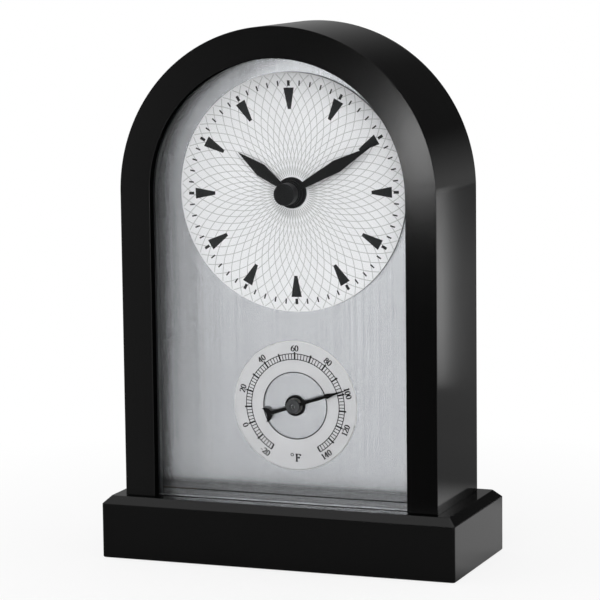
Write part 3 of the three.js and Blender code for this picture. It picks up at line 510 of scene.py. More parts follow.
sheet = arch_slab(pane_high[0], pane_low[2], arch_centre, pane_low[1], pane_high[1], PANE_EASE * MM)
pane = add_piece("glass_sheet", [sheet], clear_glass, ["glass_pane"])
paint_some(pane, ground_edge, lambda normal, place: sideways(normal))
(_, front, foot), (side, back, _) = box_of("glass_retainer")
strip_section = rounded([[opening, front], [side, front], [side, back], [opening, back]], STRIP_EDGE)
add_piece("retaining_strip", [arch_sweep(strip_section, foot, arch_centre)], retainer_plastic,
          ["glass_retainer"])

# %% [markdown]
# ## The plinth
# The plinth is a block with a wide chamfer round its top. A section of insets and heights is carried round
# a rectangle with softened corners, which is drawn in by the inset at each height. Pockets and bores are
# then cut from below with a Boolean modifier.

# %% Plinth
PLINTH_CHAMFER, PLINTH_CORNER, PLINTH_EDGES = 2.7, 0.9, [0.5, 0.5, 0.4]


def plinth_shell(low, high, steps=5):
    """Corner circles at (half size - inset - radius), on four sides, for every (inset, height) of a section
    of side, chamfer and top, which arcs join."""
    chamfer, radius = PLINTH_CHAMFER * MM, PLINTH_CORNER * MM
    middle = high[0] / 2
    corners = [[0, low[2]], [0, high[2] - chamfer], [chamfer, high[2]], [middle, high[2]], [middle, low[2]]]
    section = rounded(corners, PLINTH_EDGES + [0, 0], steps)[:3 * (steps + 1)]
    inset, height = section.T[..., None]
    angle = (np.linspace(0, np.pi / 2, steps + 1) + np.arange(4)[:, None] * np.pi / 2).ravel()
    side_x = np.repeat([1, -1, -1, 1], steps + 1)
    side_y = np.repeat([1, 1, -1, -1], steps + 1)
    x = side_x * (high[0] - inset - radius) + radius * np.cos(angle)
    y = side_y * (high[1] - inset - radius) + radius * np.sin(angle)
    points = np.stack([x, y, height + 0 * x], axis=-1)
    return shell(points, capped=True)


def cut(piece, shells):
    """Takes shells out of a piece with a Boolean modifier, and keeps the result as the piece's mesh."""
    cutter = new_object("cutter", mesh_of("cutter", shells))
    piece.modifiers.clear()
    modifier = piece.modifiers.new("bores", "BOOLEAN")
    modifier.object, modifier.solver = cutter, "EXACT"
    rested = piece.evaluated_get(bpy.context.evaluated_depsgraph_get())
    mesh = bpy.data.meshes.new_from_object(rested)
    piece.modifiers.clear()
    piece.data = mesh
    shade(piece)
    bpy.data.objects.remove(cutter)


plinth_low, plinth_high = box_of("base_plinth")
plinth = add_piece("lacquered_plinth", [plinth_shell(plinth_low, plinth_high)], lacquer, ["base_plinth"])

# %% [markdown]
# ## Pads and bores under the plinth
# Four rubber pads sit in shallow pockets, and four screws come up through counterbores. Pads are turned
# discs with soft edges; pockets and bores are slightly larger ones, cut away. A bore ends just above the
# screw's head.

# %% Pads and bores
PAD_EDGES = [0.5, 0.1]
HOLE, OVERRUN, HEAD_SHARE = 0.15, 1, 0.9

pad_names = [f"foot_pad_{i}" for i in range(1, 5)]
screw_names = [f"base_screw_{i}" for i in range(1, 5)]
pads, cutters = [], []
for name in pad_names + screw_names:
    middle, radius, bottom, top = round_solid(name, "Z")
    if name in pad_names:
        pads.append(turned(washer(0, radius, bottom, top, PAD_EDGES), middle, "Z"))
    else:
        points = rows_of(nodes[name].data.vertices, "co")
        head = np.linalg.norm((points - middle)[:, :2], axis=1) > HEAD_SHARE * radius
        top = points[head, 2].max()
    below = min(bottom, plinth_low[2])
    hole = washer(0, radius + HOLE * MM, below - OVERRUN * MM, top + SEAT * MM, [0, 0])
    cutters.append(turned(hole, middle, "Z"))
cut(plinth, cutters)
add_piece("rubber_pads", pads, pad_rubber, pad_names)
print("plinth with bores has", len(plinth.data.polygons), "faces")

# %% [markdown]
# ## The dial's disc and its rosette
# The disc is a turned ring. On it are two families of 60 fine lines: each is an arc of one circle through
# the dial's centre, so its direction drifts by the arc sine of radius / circle diameter, one family to each
# side. Lines are thin raised strips, one family a hair above the other.

# %% Disc and rosette
DISC_BORE, DISC_EDGES, DISC_STEPS = 4.05, [0.18, 0.08], 144
ROSETTE_LINES, ROSETTE_STATIONS, ROSETTE_TURN = 60, 25, -2.54
ROSETTE_DIAMETER, ROSETTE_INNER = 63.2, 6.2
ROSETTE_WIDTH, ROSETTE_HEIGHTS = 0.26, [0.012, 0.02]
PRINT_ROOT, PRINT_OFFSET = 0.02, [0.2, -0.05]


def spun(points, angle):
    """Flat points (across, along) turned clockwise, as seen from the front, by angles in degrees."""
    turn = np.radians(np.asarray(angle, float))
    across, along = points[..., 0], points[..., 1]
    return np.stack([across * np.cos(turn) + along * np.sin(turn),
                     along * np.cos(turn) - across * np.sin(turn)], axis=-1)


def ribbons(left, right, face, height, centre):
    """Many thin raised strips in one shell. Left and right are edges (strips, stations, 2) in mm from a
    centre; each station is a rectangle between them, from just inside the face to a height in front of it."""
    strips, stations = left.shape[:2]
    flat = np.stack([left, right, right, left], axis=2) * MM
    depth = face + np.array([-height, -height, PRINT_ROOT, PRINT_ROOT]) * MM
    points = np.stack([flat[..., 0] + centre[0], np.broadcast_to(depth, flat.shape[:3]),
                       flat[..., 1] + centre[1]], axis=-1)
    ends = np.array([[3, 2, 1, 0], np.arange(4) + 4 * (stations - 1)])
    one = np.vstack([grid_faces(stations, 4), ends])
    starts = np.arange(strips)[:, None, None] * stations * 4
    return points.reshape(-1, 3), [(one + starts).reshape(-1, 4)]


def widened(path, width):
    """The two edges of a line: each point moves half a width to either side, square to the path."""
    along = unit(np.gradient(path, axis=-2))
    aside = np.stack([along[..., 1], -along[..., 0]], axis=-1) * np.asarray(width) / 2
    return path - aside, path + aside


middle, radius, dial_face, back = round_solid("dial_disc")
dial = middle[[0, 2]]
printed = dial + np.array(PRINT_OFFSET) * MM
disc_profile = washer(DISC_BORE * MM, radius, dial_face, back, DISC_EDGES)
disc = add_piece("dial_face", [turned(disc_profile, middle, steps=DISC_STEPS)], silvered, ["dial_disc"])
# The rim takes the painted shadow.
paint_some(disc, painted_rim_shadow, lambda normal, place: sideways(normal))

line_radius = np.linspace(ROSETTE_INNER, radius / MM - 2 * DISC_EDGES[0], ROSETTE_STATIONS)
start = ROSETTE_TURN + np.arange(ROSETTE_LINES)[:, None] * 360 / ROSETTE_LINES
drift = np.degrees(np.arcsin(line_radius / ROSETTE_DIAMETER))
spoke = np.stack([line_radius * 0, line_radius], axis=-1)
families = [widened(spun(spoke, start + way * drift), ROSETTE_WIDTH) for way in (1, -1)]
add_piece("rosette_lines", [ribbons(*edges, dial_face, height, printed)
                            for edges, height in zip(families, ROSETTE_HEIGHTS)], pale_ink)

# %% [markdown]
# ## Hour marks and the minute track
# Twelve wedges point inwards, and a ring of short bars divides the hour into minutes, every fifth one
# wider. Each mark is a strip of two stations. The print sits a little askew and off centre.

# %% Marks of the dial
PRINT_TURN, MARK_HEIGHT = -1.66, 0.05
WEDGE = [[29.35, 1.15], [36.85, 3.9]]
HOUR_BAR = [[37.45, 1.0], [39.4, 1.0]]
MINUTE_BAR = [[37.65, 0.52], [39.45, 0.52]]


def bars(mark, angles):
    """Edges of straight marks that point to the centre. A mark is (radius, width) at its two ends, and an
    edge lies half a width to each side."""
    radius, width = np.array(mark).T
    return [spun(np.stack([side * width / 2, radius], axis=-1), angles[:, None]) for side in (-1, 1)]


minutes = np.arange(60)
on_the_hour = minutes % 5 == 0
hour_angles = PRINT_TURN + 6.0 * minutes[on_the_hour]
minute_angles = PRINT_TURN + 6.0 * minutes[~on_the_hour]
dial_marks = [bars(WEDGE, hour_angles), bars(HOUR_BAR, hour_angles), bars(MINUTE_BAR, minute_angles)]
add_piece("hour_and_minute_marks", [ribbons(*edges, dial_face, MARK_HEIGHT, printed) for edges in dial_marks],
          charcoal_ink)

# %% [markdown]
# ## The thermometer's scale
# A matt ring with a bevelled rim carries a ladder of divisions, -20 to 140 degrees Fahrenheit over 300
# degrees of turn, with a longer stroke every ten. A fine black line closes it inside. Lines along the ring
# are strips, bent as the rosette is.

# %% Ring and ladder
BEVEL = 0.3
INNER_RADIUS, INNER_LINE = 11.8, 0.36
RING_STEPS = 128
LADDER, LADDER_LINE = [16.57, 18.6], 0.29
LADDER_STATIONS, CIRCLE_STATIONS = 121, 145
LONG_STROKE = 19.25
SHORT_WIDTH, LONG_WIDTH = 0.26, 0.56
LOWEST, HIGHEST, MIDDLE = -20, 140, 60
SHORT_EVERY, LONG_EVERY = 2, 10
TURN_PER_DEGREE = 300 / (HIGHEST - LOWEST)

gauge_axis, radius, ring_face, back = round_solid("thermometer_scale")
gauge = gauge_axis[[0, 2]]
flat = radius - BEVEL * MM
ring_profile = washer(INNER_RADIUS * MM, flat, ring_face, back, [0, 0])
add_piece("scale_ring", [turned(ring_profile, gauge_axis, steps=RING_STEPS)], matt_grey,
          ["thermometer_scale"])
bevel_profile = [[flat, ring_face], [radius, ring_face + BEVEL * MM], [radius, back], [flat, back]]
add_piece("scale_bevel", [turned(bevel_profile, gauge_axis, steps=RING_STEPS)], diamond_cut)

readings = np.arange(LOWEST, HIGHEST + 1, SHORT_EVERY)
reading_angles = (readings - MIDDLE) * TURN_PER_DEGREE
tens, ends = readings % LONG_EVERY == 0, np.isin(readings, [LOWEST, HIGHEST])
inner, outer = LADDER
strokes = [(outer, SHORT_WIDTH, ~tens), (LONG_STROKE, LONG_WIDTH, tens & ~ends), (outer, LONG_WIDTH, ends)]
scale_marks = [bars([[inner, width], [reach, width]], reading_angles[chosen])
               for reach, width, chosen in strokes]
ladder_angles = np.linspace(reading_angles[0], reading_angles[-1], LADDER_STATIONS)
rails = np.stack([spun(np.array([0, radius]), ladder_angles) for radius in LADDER])
circle = np.linspace(0, 360, CIRCLE_STATIONS)
inner_rail = spun(np.array([0, INNER_RADIUS + INNER_LINE / 2]), circle)[None]
scale_marks += [widened(rails, LADDER_LINE), widened(inner_rail, INNER_LINE)]
add_piece("scale_divisions", [ribbons(*edges, ring_face, MARK_HEIGHT, gauge) for edges in scale_marks],
          black_ink)

# %% [markdown]
# ## Numerals
# The numerals are a book face with thick stems and thin hairlines. A broad pen gives that: its stroke is
# widest where it moves up or down, thinnest where it moves across. Each figure is a few lines, bends and
# arcs of an ellipse.

# %% Pen strokes
PEN, FINE_PEN = (0.1, 0.22), (0.08, 0.1)
FIGURE_STRETCH = 1.28
ALONG = np.linspace(0, 1, 17)[:, None]
PEN_TURN = 1.5


def bend(first, pull, last):
    """A curve from first to last drawn towards pull: (1-t)^2 first + 2 t (1-t) pull + t^2 last."""
    return ((1 - ALONG) ** 2 * np.array(first) + 2 * ALONG * (1 - ALONG) * np.array(pull)
            + ALONG ** 2 * np.array(last))


def line(first, last):
    """A bend whose pull lies halfway, so that it is straight."""
    return bend(first, (np.array(first) + np.array(last)) / 2, last)


def arc(centre, radii, begin, end):
    """Part of an ellipse, from one angle to another in degrees."""
    angle = np.radians(begin + (end - begin) * ALONG)
    return np.array(centre) + np.array(radii) * np.hstack([np.cos(angle), np.sin(angle)])


FIGURES = {
    "0": (0.52, [arc((0.26, 0.5), (0.19, 0.46), 0, 360)]),
    "1": (0.42, [line((0.22, 0.03), (0.22, 0.97)), bend((0.07, 0.82), (0.17, 0.86), (0.22, 0.97)),
                 line((0.07, 0.035), (0.37, 0.035))]),
    "2": (0.52, [arc((0.24, 0.72), (0.18, 0.24), 165, -15), bend((0.414, 0.658), (0.36, 0.42), (0.05, 0.06)),
                 line((0.05, 0.06), (0.46, 0.06)), line((0.46, 0.04), (0.48, 0.2))]),
    "4": (0.52, [line((0.35, 0.97), (0.35, 0.03)), line((0.35, 0.95), (0.04, 0.3)),
                 line((0.03, 0.29), (0.5, 0.29)), line((0.24, 0.035), (0.46, 0.035))]),
    "6": (0.52, [arc((0.26, 0.31), (0.19, 0.28), 0, 360), bend((0.42, 0.96), (0.1, 0.8), (0.072, 0.36))]),
    "8": (0.52, [arc((0.26, 0.74), (0.155, 0.22), 0, 360), arc((0.26, 0.27), (0.195, 0.245), 0, 360)]),
    "-": (0.36, [line((0.04, 0.38), (0.3, 0.38))]),
    "F": (0.58, [line((0.16, 0.03), (0.16, 0.97)), line((0.03, 0.96), (0.53, 0.96)),
                 line((0.53, 0.96), (0.54, 0.76)), line((0.16, 0.52), (0.4, 0.52)),
                 line((0.4, 0.63), (0.4, 0.41)), line((0.03, 0.035), (0.3, 0.035))]),
    "o": (0.3, [arc((0.15, 0.5), (0.14, 0.18), 0, 360)]),
}


def lettering(text, height, place, angle, pen=PEN):
    """Edges of a text's strokes: figures side by side, centred on a place and turned by an angle."""
    widths = [FIGURES[letter][0] for letter in text]
    starts = np.cumsum([0] + widths[:-1]) - sum(widths) / 2
    paths = [path + [start, -0.5] for letter, start in zip(text, starts) for path in FIGURES[letter][1]]
    paths = np.array(paths) * [FIGURE_STRETCH, 1]
    upward = np.abs(unit(np.gradient(paths, axis=-2))[..., 1:])
    edges = widened(paths, pen[0] + (pen[1] - pen[0]) * upward ** PEN_TURN)
    return [spun(edge * height + [0, place[1]], angle) + [place[0], 0] for edge in edges]


# %% [markdown]
# The numerals stand round the scale every twenty degrees. Past the horizontal they are turned over, to be
# read, and the two at the ends are moved in. The unit stands upright below.

# %% Numerals on the ring
NUMERAL_EVERY, NUMERAL_HEIGHT, NUMERAL_RADIUS = 20, 2.15, 20.55
END_SHIFT = 4.5
UNIT_HEIGHT, UNIT_PLACE = 2.8, [0.84, -18.72]
SIGN_HEIGHT, SIGN_PLACE = 2.7, [-1.35, -17.7]

numerals = []
for reading in range(LOWEST, HIGHEST + 1, NUMERAL_EVERY):
    angle = (reading - MIDDLE) * TURN_PER_DEGREE
    angle += END_SHIFT * ((reading == LOWEST) - (reading == HIGHEST))
    upside = abs(angle) > 90
    place = [0, (1 - 2 * upside) * NUMERAL_RADIUS]
    numerals.append(lettering(str(reading), NUMERAL_HEIGHT, place, angle + 180 * upside))
numerals.append(lettering("F", UNIT_HEIGHT, UNIT_PLACE, 0))
numerals.append(lettering("o", SIGN_HEIGHT, SIGN_PLACE, 0, FINE_PEN))
add_piece("scale_numerals", [ribbons(*edges, ring_face, MARK_HEIGHT, gauge) for edges in numerals],
          black_ink)

# %% [markdown]
# ## The hands
# Both hands are flat leaves stamped from sheet, on a round hub with a hole for the arbor. Seen from the
# axis the outline never folds back, so a plate can be built in rings, from the hole out over the front and
# round the eased edge to the hole behind.

# %% Hands
HAND_EASE = 0.1
HANDS = {
    "hour": dict(reach=23.9, waist=13.4, width=4.7, root=2.1, hub=4.6, bore=2.5, angle=-54.3),
    "minute": dict(reach=35.9, waist=20.7, width=4.5, root=1.9, hub=4.2, bore=1.5, angle=61.0),
}


def stamped(outline, bore, front, back, centre):
    """A plate round a hole: rings at the hole, at the outline drawn in by the ease, at the outline and back.
    The outline runs clockwise, and its inner side is square to its direction."""
    ahead = unit(np.roll(outline, -1, axis=0) - outline)
    behind = unit(outline - np.roll(outline, 1, axis=0))
    inner = outline + unit(ahead + behind)[:, ::-1] * [1, -1] * HAND_EASE
    hole = unit(outline) * bore
    rings = np.stack([hole, inner, outline, outline, inner, hole]) * MM
    ease = HAND_EASE * MM
    depth = np.array([front, front, front + ease, back - ease, back, back])[:, None]
    points = [rings[..., 0] + centre[0], depth + 0 * rings[..., 0], rings[..., 1] + centre[1]]
    return shell(np.stack(points, axis=-1), wrap_rows=True)


def leaf(hand, steps=48):
    """Tip, waist and root on the right, then the hub's circle the long way round, then the left side."""
    root = np.arcsin(hand["root"] / 2 / hand["hub"])
    turn = np.linspace(root, 2 * np.pi - root, steps)
    hub = hand["hub"] * np.stack([np.sin(turn), np.cos(turn)], axis=-1)
    half = hand["width"] / 2
    outline = np.vstack([[[0, hand["reach"]], [half, hand["waist"]]], hub, [[-half, hand["waist"]]]])
    return spun(outline, hand["angle"])


for body, hand in HANDS.items():
    front, back = box_of(f"{body}_hand")[:, 1]
    plate = stamped(leaf(hand), hand["bore"], front, back, dial)
    add_piece(f"{body}_leaf", [plate], black_paint, [f"{body}_hand"], body)

# %% [markdown]
# ## Caps and nuts
# A cap closes the arbor, and a flat nut behind the hands holds the movement to the plate. Both are turned.
# The cap has a rounded rim and a blind hole from behind for the arbor's end.

# %% Cap and nut of the dial
FLAT_FACE = [[0, 0]]
CAP_RIMS, CAP_HOLE, CAP_DEPTH = [0, 0.18, 0.1, 0, 0, 0], 1.5, 2.9
NUT_EDGE = 0.25


def blind_cap(node, face, rims, hole, depth):
    """A turned cap: its face from the axis outwards, round the rim to the back, and into a blind hole."""
    middle, radius, front, back = round_solid(node)
    hole, floor = hole * MM, back - depth * MM
    rest = [[radius, front], [radius, back], [hole, back], [hole, floor], [0, floor]]
    return turned(rounded(np.vstack([np.array(face) * MM + [0, front], rest]), rims), middle)


def flat_nut(node, bore, edge):
    """A turned ring with its front edge rounded."""
    middle, radius, front, back = round_solid(node)
    return turned(washer(bore * MM, radius, front, back, [edge, 0]), middle)


cap = blind_cap("hand_cap", FLAT_FACE, CAP_RIMS, CAP_HOLE, CAP_DEPTH)
add_piece("arbor_cap", [cap], black_paint, ["hand_cap"], "minute")
add_piece("movement_nut", [flat_nut("collar_nut", DISC_BORE, NUT_EDGE)], black_paint, ["collar_nut"])

# %% [markdown]
# ## The thermometer's needle
# The needle is a thin shaft with a barbed point, a small hub, and a crescent that balances it. Point and
# shaft are one strip of changing width. The crescent is a strip between two arcs, and tapers to nothing at
# its horns.

# %% Needle
NEEDLE_ALONG = [-9.3, -1.7, 1.7, 12.4, 13.1, 15.6, 21.8]
NEEDLE_HALF = [0.6, 0.6, 0.6, 0.5, 0.95, 0.42, 0.03]
NEEDLE_ANGLE = 71.4
NEEDLE_HUB, NEEDLE_BORE, HUB_EDGE = 1.7, 0.9, 0.1
HORN_HALF, HORN_PLACE = 2.55, -11.95
CRESCENT_NEAR, CRESCENT_FAR = -8.9, -10.9


def bow(apex, steps=33):
    """The arc of a circle from horn to horn through an apex on the axis: with rise s over the horns and half
    chord c, the radius is (s^2 + c^2) / 2s."""
    rise = apex - HORN_PLACE
    radius = (rise ** 2 + HORN_HALF ** 2) / (2 * rise)
    turn = np.linspace(-1, 1, steps) * np.arctan2(HORN_HALF, radius - rise)
    return np.stack([np.sin(turn), np.cos(turn)], axis=-1) * radius + [0, apex - radius]


front, back = box_of("thermometer_needle")[:, 1]
root, thickness = back - PRINT_ROOT * MM, (back - front) / MM - PRINT_ROOT
edges = np.stack([NEEDLE_HALF, NEEDLE_ALONG], axis=-1)
pointer = [spun(edges * [side, 1], NEEDLE_ANGLE)[None] for side in (-1, 1)]
crescent = [spun(bow(apex), NEEDLE_ANGLE)[None] for apex in (CRESCENT_NEAR, CRESCENT_FAR)]
strips = [ribbons(*sides, root, thickness, gauge) for sides in (pointer, crescent)]
hub_profile = washer(NEEDLE_BORE * MM, NEEDLE_HUB * MM, front, back, [HUB_EDGE, 0])
add_piece("gauge_needle", strips + [turned(hub_profile, gauge_axis)], matt_black, ["thermometer_needle"],
          "needle")

# %% [markdown]
# ## The thermometer's nut and the needle's cap
# A matt black ring nut sits on a plated bush, whose bright rim shows inside it, and a small cap is pressed
# on the needle's arbor. All are turned; the groove in the cap's front is part of its profile.

# %% Nut, bush and cap
BUSH_BORE, BUSH_RIM, BUSH_RECESS = 2.7, 2.9, 0.2
CAP_GROOVE = [[0, 0], [0.42, 0], [0.5, 0.8], [0.82, 0.8], [0.92, 0]]
CAP_SEAT = 0.4
CAP_EDGES = [0, 0.05, 0.05, 0.05, 0.05, 0.3, 0.05, 0, 0, 0]

add_piece("gauge_nut", [flat_nut("thermometer_bush", BUSH_RIM, NUT_EDGE)], matt_black, ["thermometer_bush"])
front, back = box_of("thermometer_bush")[:, 1]
rim_profile = washer(BUSH_BORE * MM, BUSH_RIM * MM, front + BUSH_RECESS * MM, back, [0, 0])
add_piece("gauge_bush", [turned(rim_profile, gauge_axis)], turned_steel)

cap = blind_cap("needle_cap", CAP_GROOVE, CAP_EDGES, NEEDLE_BORE, CAP_SEAT)
add_piece("gauge_cap", [cap], cap_paint, ["needle_cap"], "needle")

# %% [markdown]
# ## The back: knob and screws
# The setting knob has 20 flutes: its radius swings with the cosine of 20 times the angle. The panel's
# screws have domed heads with a crossed recess: a height field over a disc, a dome less the cross's depth
# within either arm.

# %% Knob and screws
KNOB_FLUTES, FLUTE_DEPTH = 20, 0.5
KNOB_LEVELS = np.array([[0, 0, 0.0], [0.94, 1, 0.0], [1, 1, 0.07], [1, 1, 0.9], [0.93, 1, 1.0], [0.7, 0, 1.0],
                        [0.62, 0, 0.86], [0, 0, 0.82]])
CROSS_HALF, CROSS_REACH, CROSS_DEPTH, CROSS_SLOPE = 0.36, 1.45, 0.6, 0.1
DOME, HEAD_THICKNESS = 0.75, 1.2


def fluted(node, steps=160):
    """Rings of (share of the radius, share of the flutes, share of the height): r = share (R - flute)."""
    middle, radius, front, back = round_solid(node)
    share, flute, rise = KNOB_LEVELS.T[..., None]
    turn = np.linspace(0, 2 * np.pi, steps, endpoint=False)
    swing = FLUTE_DEPTH * MM * (1 - np.cos(KNOB_FLUTES * turn)) / 2
    ring = share * (radius - flute * swing)
    depth = front + rise * (back - front)
    points = [middle[0] + ring * np.sin(turn), depth + 0 * ring, middle[2] + ring * np.cos(turn)]
    return shell(np.stack(points, axis=-1))


def arm(aside, along):
    """1 within an arm of the cross, falling to 0 over its slope at the sides and at the end."""
    sides = np.clip((CROSS_HALF - aside) / CROSS_SLOPE + 0.5, 0, 1)
    return sides * np.clip((CROSS_REACH - along) / CROSS_SLOPE + 0.5, 0, 1)


def crossed_head(node, rows=22, steps=72):
    """y = dome(r) - depth * cross; the dome falls with the cube of r, and cross is the larger of two arms."""
    middle, radius, _, top = round_solid(node)
    share = np.linspace(0, 1, rows)[:, None]
    ring = radius / MM * share
    turn = np.linspace(0, 2 * np.pi, steps, endpoint=False)
    x, z = ring * np.sin(turn), ring * np.cos(turn)
    cross = np.maximum(arm(np.abs(x), np.abs(z)), arm(np.abs(z), np.abs(x)))
    front = top - (DOME * share ** 3 + CROSS_DEPTH * cross) * MM
    back = np.full((1, steps), top - HEAD_THICKNESS * MM)
    points = [np.vstack([x, x[-1:], 0 * back]) * MM + middle[0], np.vstack([front, back, back]),
              np.vstack([z, z[-1:], 0 * back]) * MM + middle[2]]
    return shell(np.stack(points, axis=-1))


add_piece("setting_knob", [fluted("set_knob")], movement_plastic, ["set_knob"], "setting")
panel_screws = [f"panel_screw_{i}" for i in range(1, 7)]
add_piece("panel_screw_heads", [crossed_head(name) for name in panel_screws], zinc_plate, panel_screws)

# %% [markdown]
# ## The cell
# One round cell lies across the movement. Its can is turned, with a nub at one end, and a plain dark film is
# shrunk round its middle and leaves the ends bare.

# %% Cell
NUB_RADIUS, NUB = 2.7, 1.0
CAN_EDGES = [0, 0.5, 0.6, 0.1, 0.3, 0]
FILM_MARGIN, FILM_THICKNESS, FILM_ROOT = 1.6, 0.03, 0.2

middle, radius, first, last = round_solid("cell", "X")
shoulder, nub, can = last - NUB * MM, NUB_RADIUS * MM, radius - FILM_THICKNESS * MM
can_profile = rounded([[0, first], [can, first], [can, shoulder], [nub, shoulder], [nub, last], [0, last]],
                      CAN_EDGES)
add_piece("cell_can", [turned(can_profile, middle, "X")], cell_steel, ["cell"], "power_cell")

begin, end, root = first + FILM_MARGIN * MM, shoulder - FILM_MARGIN * MM, can - FILM_ROOT * MM
film_profile = rounded([[root, begin], [radius, begin], [radius, end], [root, end]], FILM_THICKNESS)
add_piece("cell_film", [turned(film_profile, middle, "X")], cell_film, body="power_cell")

# %% [markdown]
# ## Floor
# The clock stands on a pale sheet. To the camera it is white, and near the clock it keeps a share of its
# shading for the soft shadow. Other rays see it lit as well, but its colour for them holds painted shade: a
# dark strip in front of the clock, white beside it and darker greys behind. That is what lacquer and plate
# mirror.

# %% Floor
FLOOR_HALF, FLOOR_FRONT, FLOOR_BACK = 0.9, -0.128, 1.6
PAPER_WHITE = "#f8f8f8"
# Painted shade and light in the floor's colour, for every ray but the camera's: dark in front, white beside
# the clock, greys behind.
PAINTED_FLOOR_SHADE = [(-0.03, "#707070"), (0.0, "#fafafa"), (0.1, "#fafafa"), (0.14, "#787878"), (0.42, "#8c8c8c"),
               (0.75, "#9c9c9c"), (1.1, "#7c7c7c"), (1.35, "#747474"), (1.6, "#686868")]
SHADOW_SHARE, SHADOW_REACH = 0.2, 0.25

floor_mesh = bpy.data.meshes.new("floor")
corners = [(x, y, 0) for y in (FLOOR_FRONT, FLOOR_BACK) for x in (-FLOOR_HALF, FLOOR_HALF)]
floor_mesh.from_pydata(corners, [], [(0, 1, 3, 2)])
floor = new_object("floor", floor_mesh)

paper, paper_shader = start_material("matt_white_paper_painted_shade", PAPER_WHITE, Roughness=0.9)
floor_mesh.materials.append(paper)
tree = paper.node_tree
to_camera = add(tree, "LightPath").outputs["Is Camera Ray"]
place = add(tree, "TexCoord").outputs["Object"]
rearward = add(tree, "SeparateXYZ", {0: place}).outputs["Y"]
first, last = PAINTED_FLOOR_SHADE[0][0], PAINTED_FLOOR_SHADE[-1][0]
tones = add(tree, "ValToRGB", {0: ramp(tree, rearward, first, last)})
stops = tones.color_ramp.elements
for y, _ in PAINTED_FLOOR_SHADE[1:-1]:
    stops.new((y - first) / (last - first))
for stop, (_, tone) in zip(stops, PAINTED_FLOOR_SHADE):
    stop.color = linear(tone)
# The camera gets white; every other ray gets the painted shade.
tint = add(tree, "MixRGB", {0: to_camera, 1: tones.outputs[0], 2: linear(PAPER_WHITE)}).outputs[0]
tree.links.new(tint, paper_shader.inputs["Base Color"])
white = add(tree, "Emission", {"Strength": 1.0}).outputs[0]
distance = add(tree, "VectorMath", {0: place}, operation="LENGTH").outputs["Value"]
whiteness = ramp(tree, distance, 0.0, SHADOW_REACH, 1 - SHADOW_SHARE, 1.0)
share = calc(tree, "MULTIPLY", to_camera, whiteness)
seen = add(tree, "MixShader", {0: share, 1: paper_shader.outputs[0], 2: white})
tree.links.new(seen.outputs[0], tree.nodes["Material Output"].inputs["Surface"])
print("floor with", len(stops), "tones")

# %% [markdown]
# ## The room
# The world is white to the camera, and an even light to matt surfaces. Rays that are mirrored or leave
# through the glass see a plain studio. In front, two soft boxes have a dark gap between them; a far one on
# the right is seen only through the glass and lights the plate. Behind, the room is dim, with a glow low on
# the right. Ranges are of a direction's X, Y or Z, or of its part across the front: along the camera's
# right as the clock's face mirrors it.

# %% World
AMBIENT, CEILING, CEILING_Z = 0.5, 0.65, [0.5, 0.9]
AHEAD_Y = [-0.1, -0.4]
ROOM_FRONT, FRONT_ACROSS = [0.0, 0.2], [0.04, -0.065]
ROOM_BACK, BACK_X, BACK_POWER = [0.03, 0.25], [0.05, -0.36], 2.0
GLOW, GLOW_X, GLOW_Z = 0.24, [0.2, 0.34], [0.16, -0.04]
GAP, GAP_TILT, TILT_Z = [0.11, 0.2], [0.04, -0.03], [-0.19, -0.08]
BOX_LEVEL, BOX_Z, BOX_TOP_Z = [0.5, 1.95], [-0.2, -0.06], [0.22, -0.02]
FAR_LEVEL, FAR_BEGIN, FAR_END, FAR_Z = [6.2, 1.5], [0.25, 0.55], [0.8, 0.65], [-0.34, -0.27]


def mixed(share, low, high):
    """Between two levels of the world's light, by a share from 0 to 1."""
    return ramp(tree, share, 0.0, 1.0, low, high)


world = bpy.data.worlds.new("studio_room")
bpy.context.scene.world = world
world.use_nodes = True
tree = world.node_tree
rays = add(tree, "LightPath").outputs
direction = add(tree, "TexCoord").outputs["Generated"]
x, y, z = add(tree, "SeparateXYZ", {0: direction}).outputs
across_front = add(tree, "VectorMath", {0: direction, 1: (RIGHT[0], -RIGHT[1], 0)},
                   operation="DOT_PRODUCT").outputs["Value"]
ahead = ramp(tree, y, *AHEAD_Y)

left = calc(tree, "POWER", ramp(tree, x, *BACK_X), BACK_POWER)
glow = calc(tree, "MULTIPLY", ramp(tree, z, *GLOW_Z, 0.0, GLOW), ramp(tree, x, *GLOW_X))
back = calc(tree, "ADD", mixed(left, *ROOM_BACK), glow)
room = mixed(ahead, back, ramp(tree, across_front, *FRONT_ACROSS, *ROOM_FRONT))
room = mixed(ramp(tree, z, *CEILING_Z), room, CEILING)

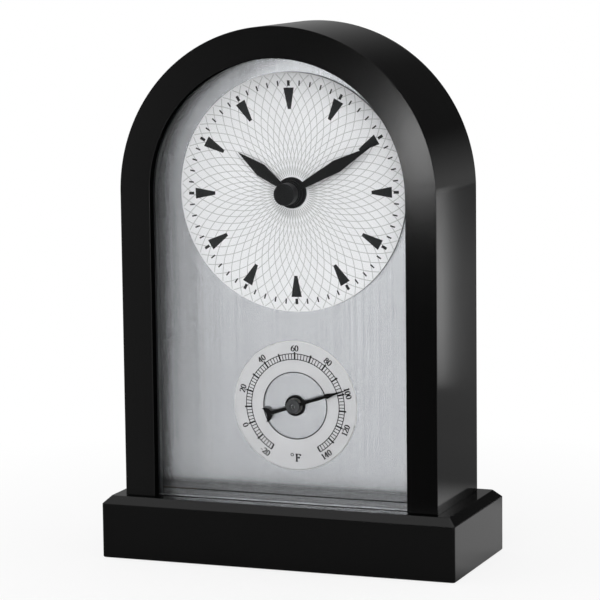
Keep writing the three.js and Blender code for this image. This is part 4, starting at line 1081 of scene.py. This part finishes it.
tilted = calc(tree, "ADD", across_front, ramp(tree, z, *TILT_Z, *GAP_TILT))
aside = add(tree, "Math", {0: tilted}, operation="ABSOLUTE").outputs[0]
boxes = calc(tree, "MULTIPLY", ramp(tree, aside, *GAP), ahead, ramp(tree, z, *BOX_TOP_Z))
beyond = calc(tree, "MULTIPLY", ramp(tree, across_front, *FAR_BEGIN), ramp(tree, across_front, *FAR_END),
              ramp(tree, z, *FAR_Z), rays["Is Transmission Ray"])
near, far = [ramp(tree, z, *BOX_Z, *level) for level in (BOX_LEVEL, FAR_LEVEL)]
room = mixed(boxes, room, mixed(beyond, near, far))

through_or_mirrored = calc(tree, "MAXIMUM", rays["Is Glossy Ray"], rays["Is Transmission Ray"])
level = mixed(rays["Is Camera Ray"], mixed(through_or_mirrored, AMBIENT, room), 1.0)
tree.links.new(level, tree.nodes["Background"].inputs["Strength"])
tree.nodes["Background"].inputs["Color"].default_value = linear("#ffffff")
print("world:", len(tree.nodes), "nodes")

# %% [markdown]
# ## Lamps
# Two large soft lamps light the dial; mirrors don't show them, because they show the world's boxes. Two
# small ones make highlights on the arch: each is placed where the camera sees it mirrored at a chosen
# point, in the front face and in the right side.

# %% Lamps
AIM = Vector((0, 0, 0.1))
CATCH_POINT, CATCH_DISTANCE = np.array([0.0535, -0.0234, 0.15]), 2.5
SIDE_POINT, SIDE_DISTANCE = np.array([0.0586, -0.0234, 0.106]), 0.3
FRONT_MIRROR, SIDE_MIRROR = [1, -1, 1], [-1, 1, 1]

catch_place = CATCH_POINT + CATCH_DISTANCE * unit((CATCH_POINT - EYE) * FRONT_MIRROR)
side_place = SIDE_POINT + SIDE_DISTANCE * unit((SIDE_POINT - EYE) * SIDE_MIRROR)
LAMPS = [("left_box", "RECTANGLE", (-1.35, -0.85, 0.75), (1.0, 1.0), 3.5),
         ("front_box", "RECTANGLE", (0.35, -1.6, 0.8), (1.2, 1.2), 13.6),
         ("catch_light", "ELLIPSE", catch_place.tolist(), (0.03, 0.12), 0.18),
         ("side_light", "ELLIPSE", side_place.tolist(), (0.0075, 0.1), 0.0026)]
for name, shape, place, size, power in LAMPS:
    lamp = bpy.data.lights.new(name, "AREA")
    lamp.shape, lamp.energy = shape, power
    lamp.size, lamp.size_y = size
    box = new_object(name, lamp)
    box.location = place
    box.rotation_euler = (AIM - Vector(place)).to_track_quat("-Z", "Y").to_euler()
    box.visible_camera, box.visible_glossy = False, shape == "ELLIPSE"
bpy.context.scene.view_settings.view_transform = "Standard"
print("lamps:", [name for name, *_ in LAMPS])
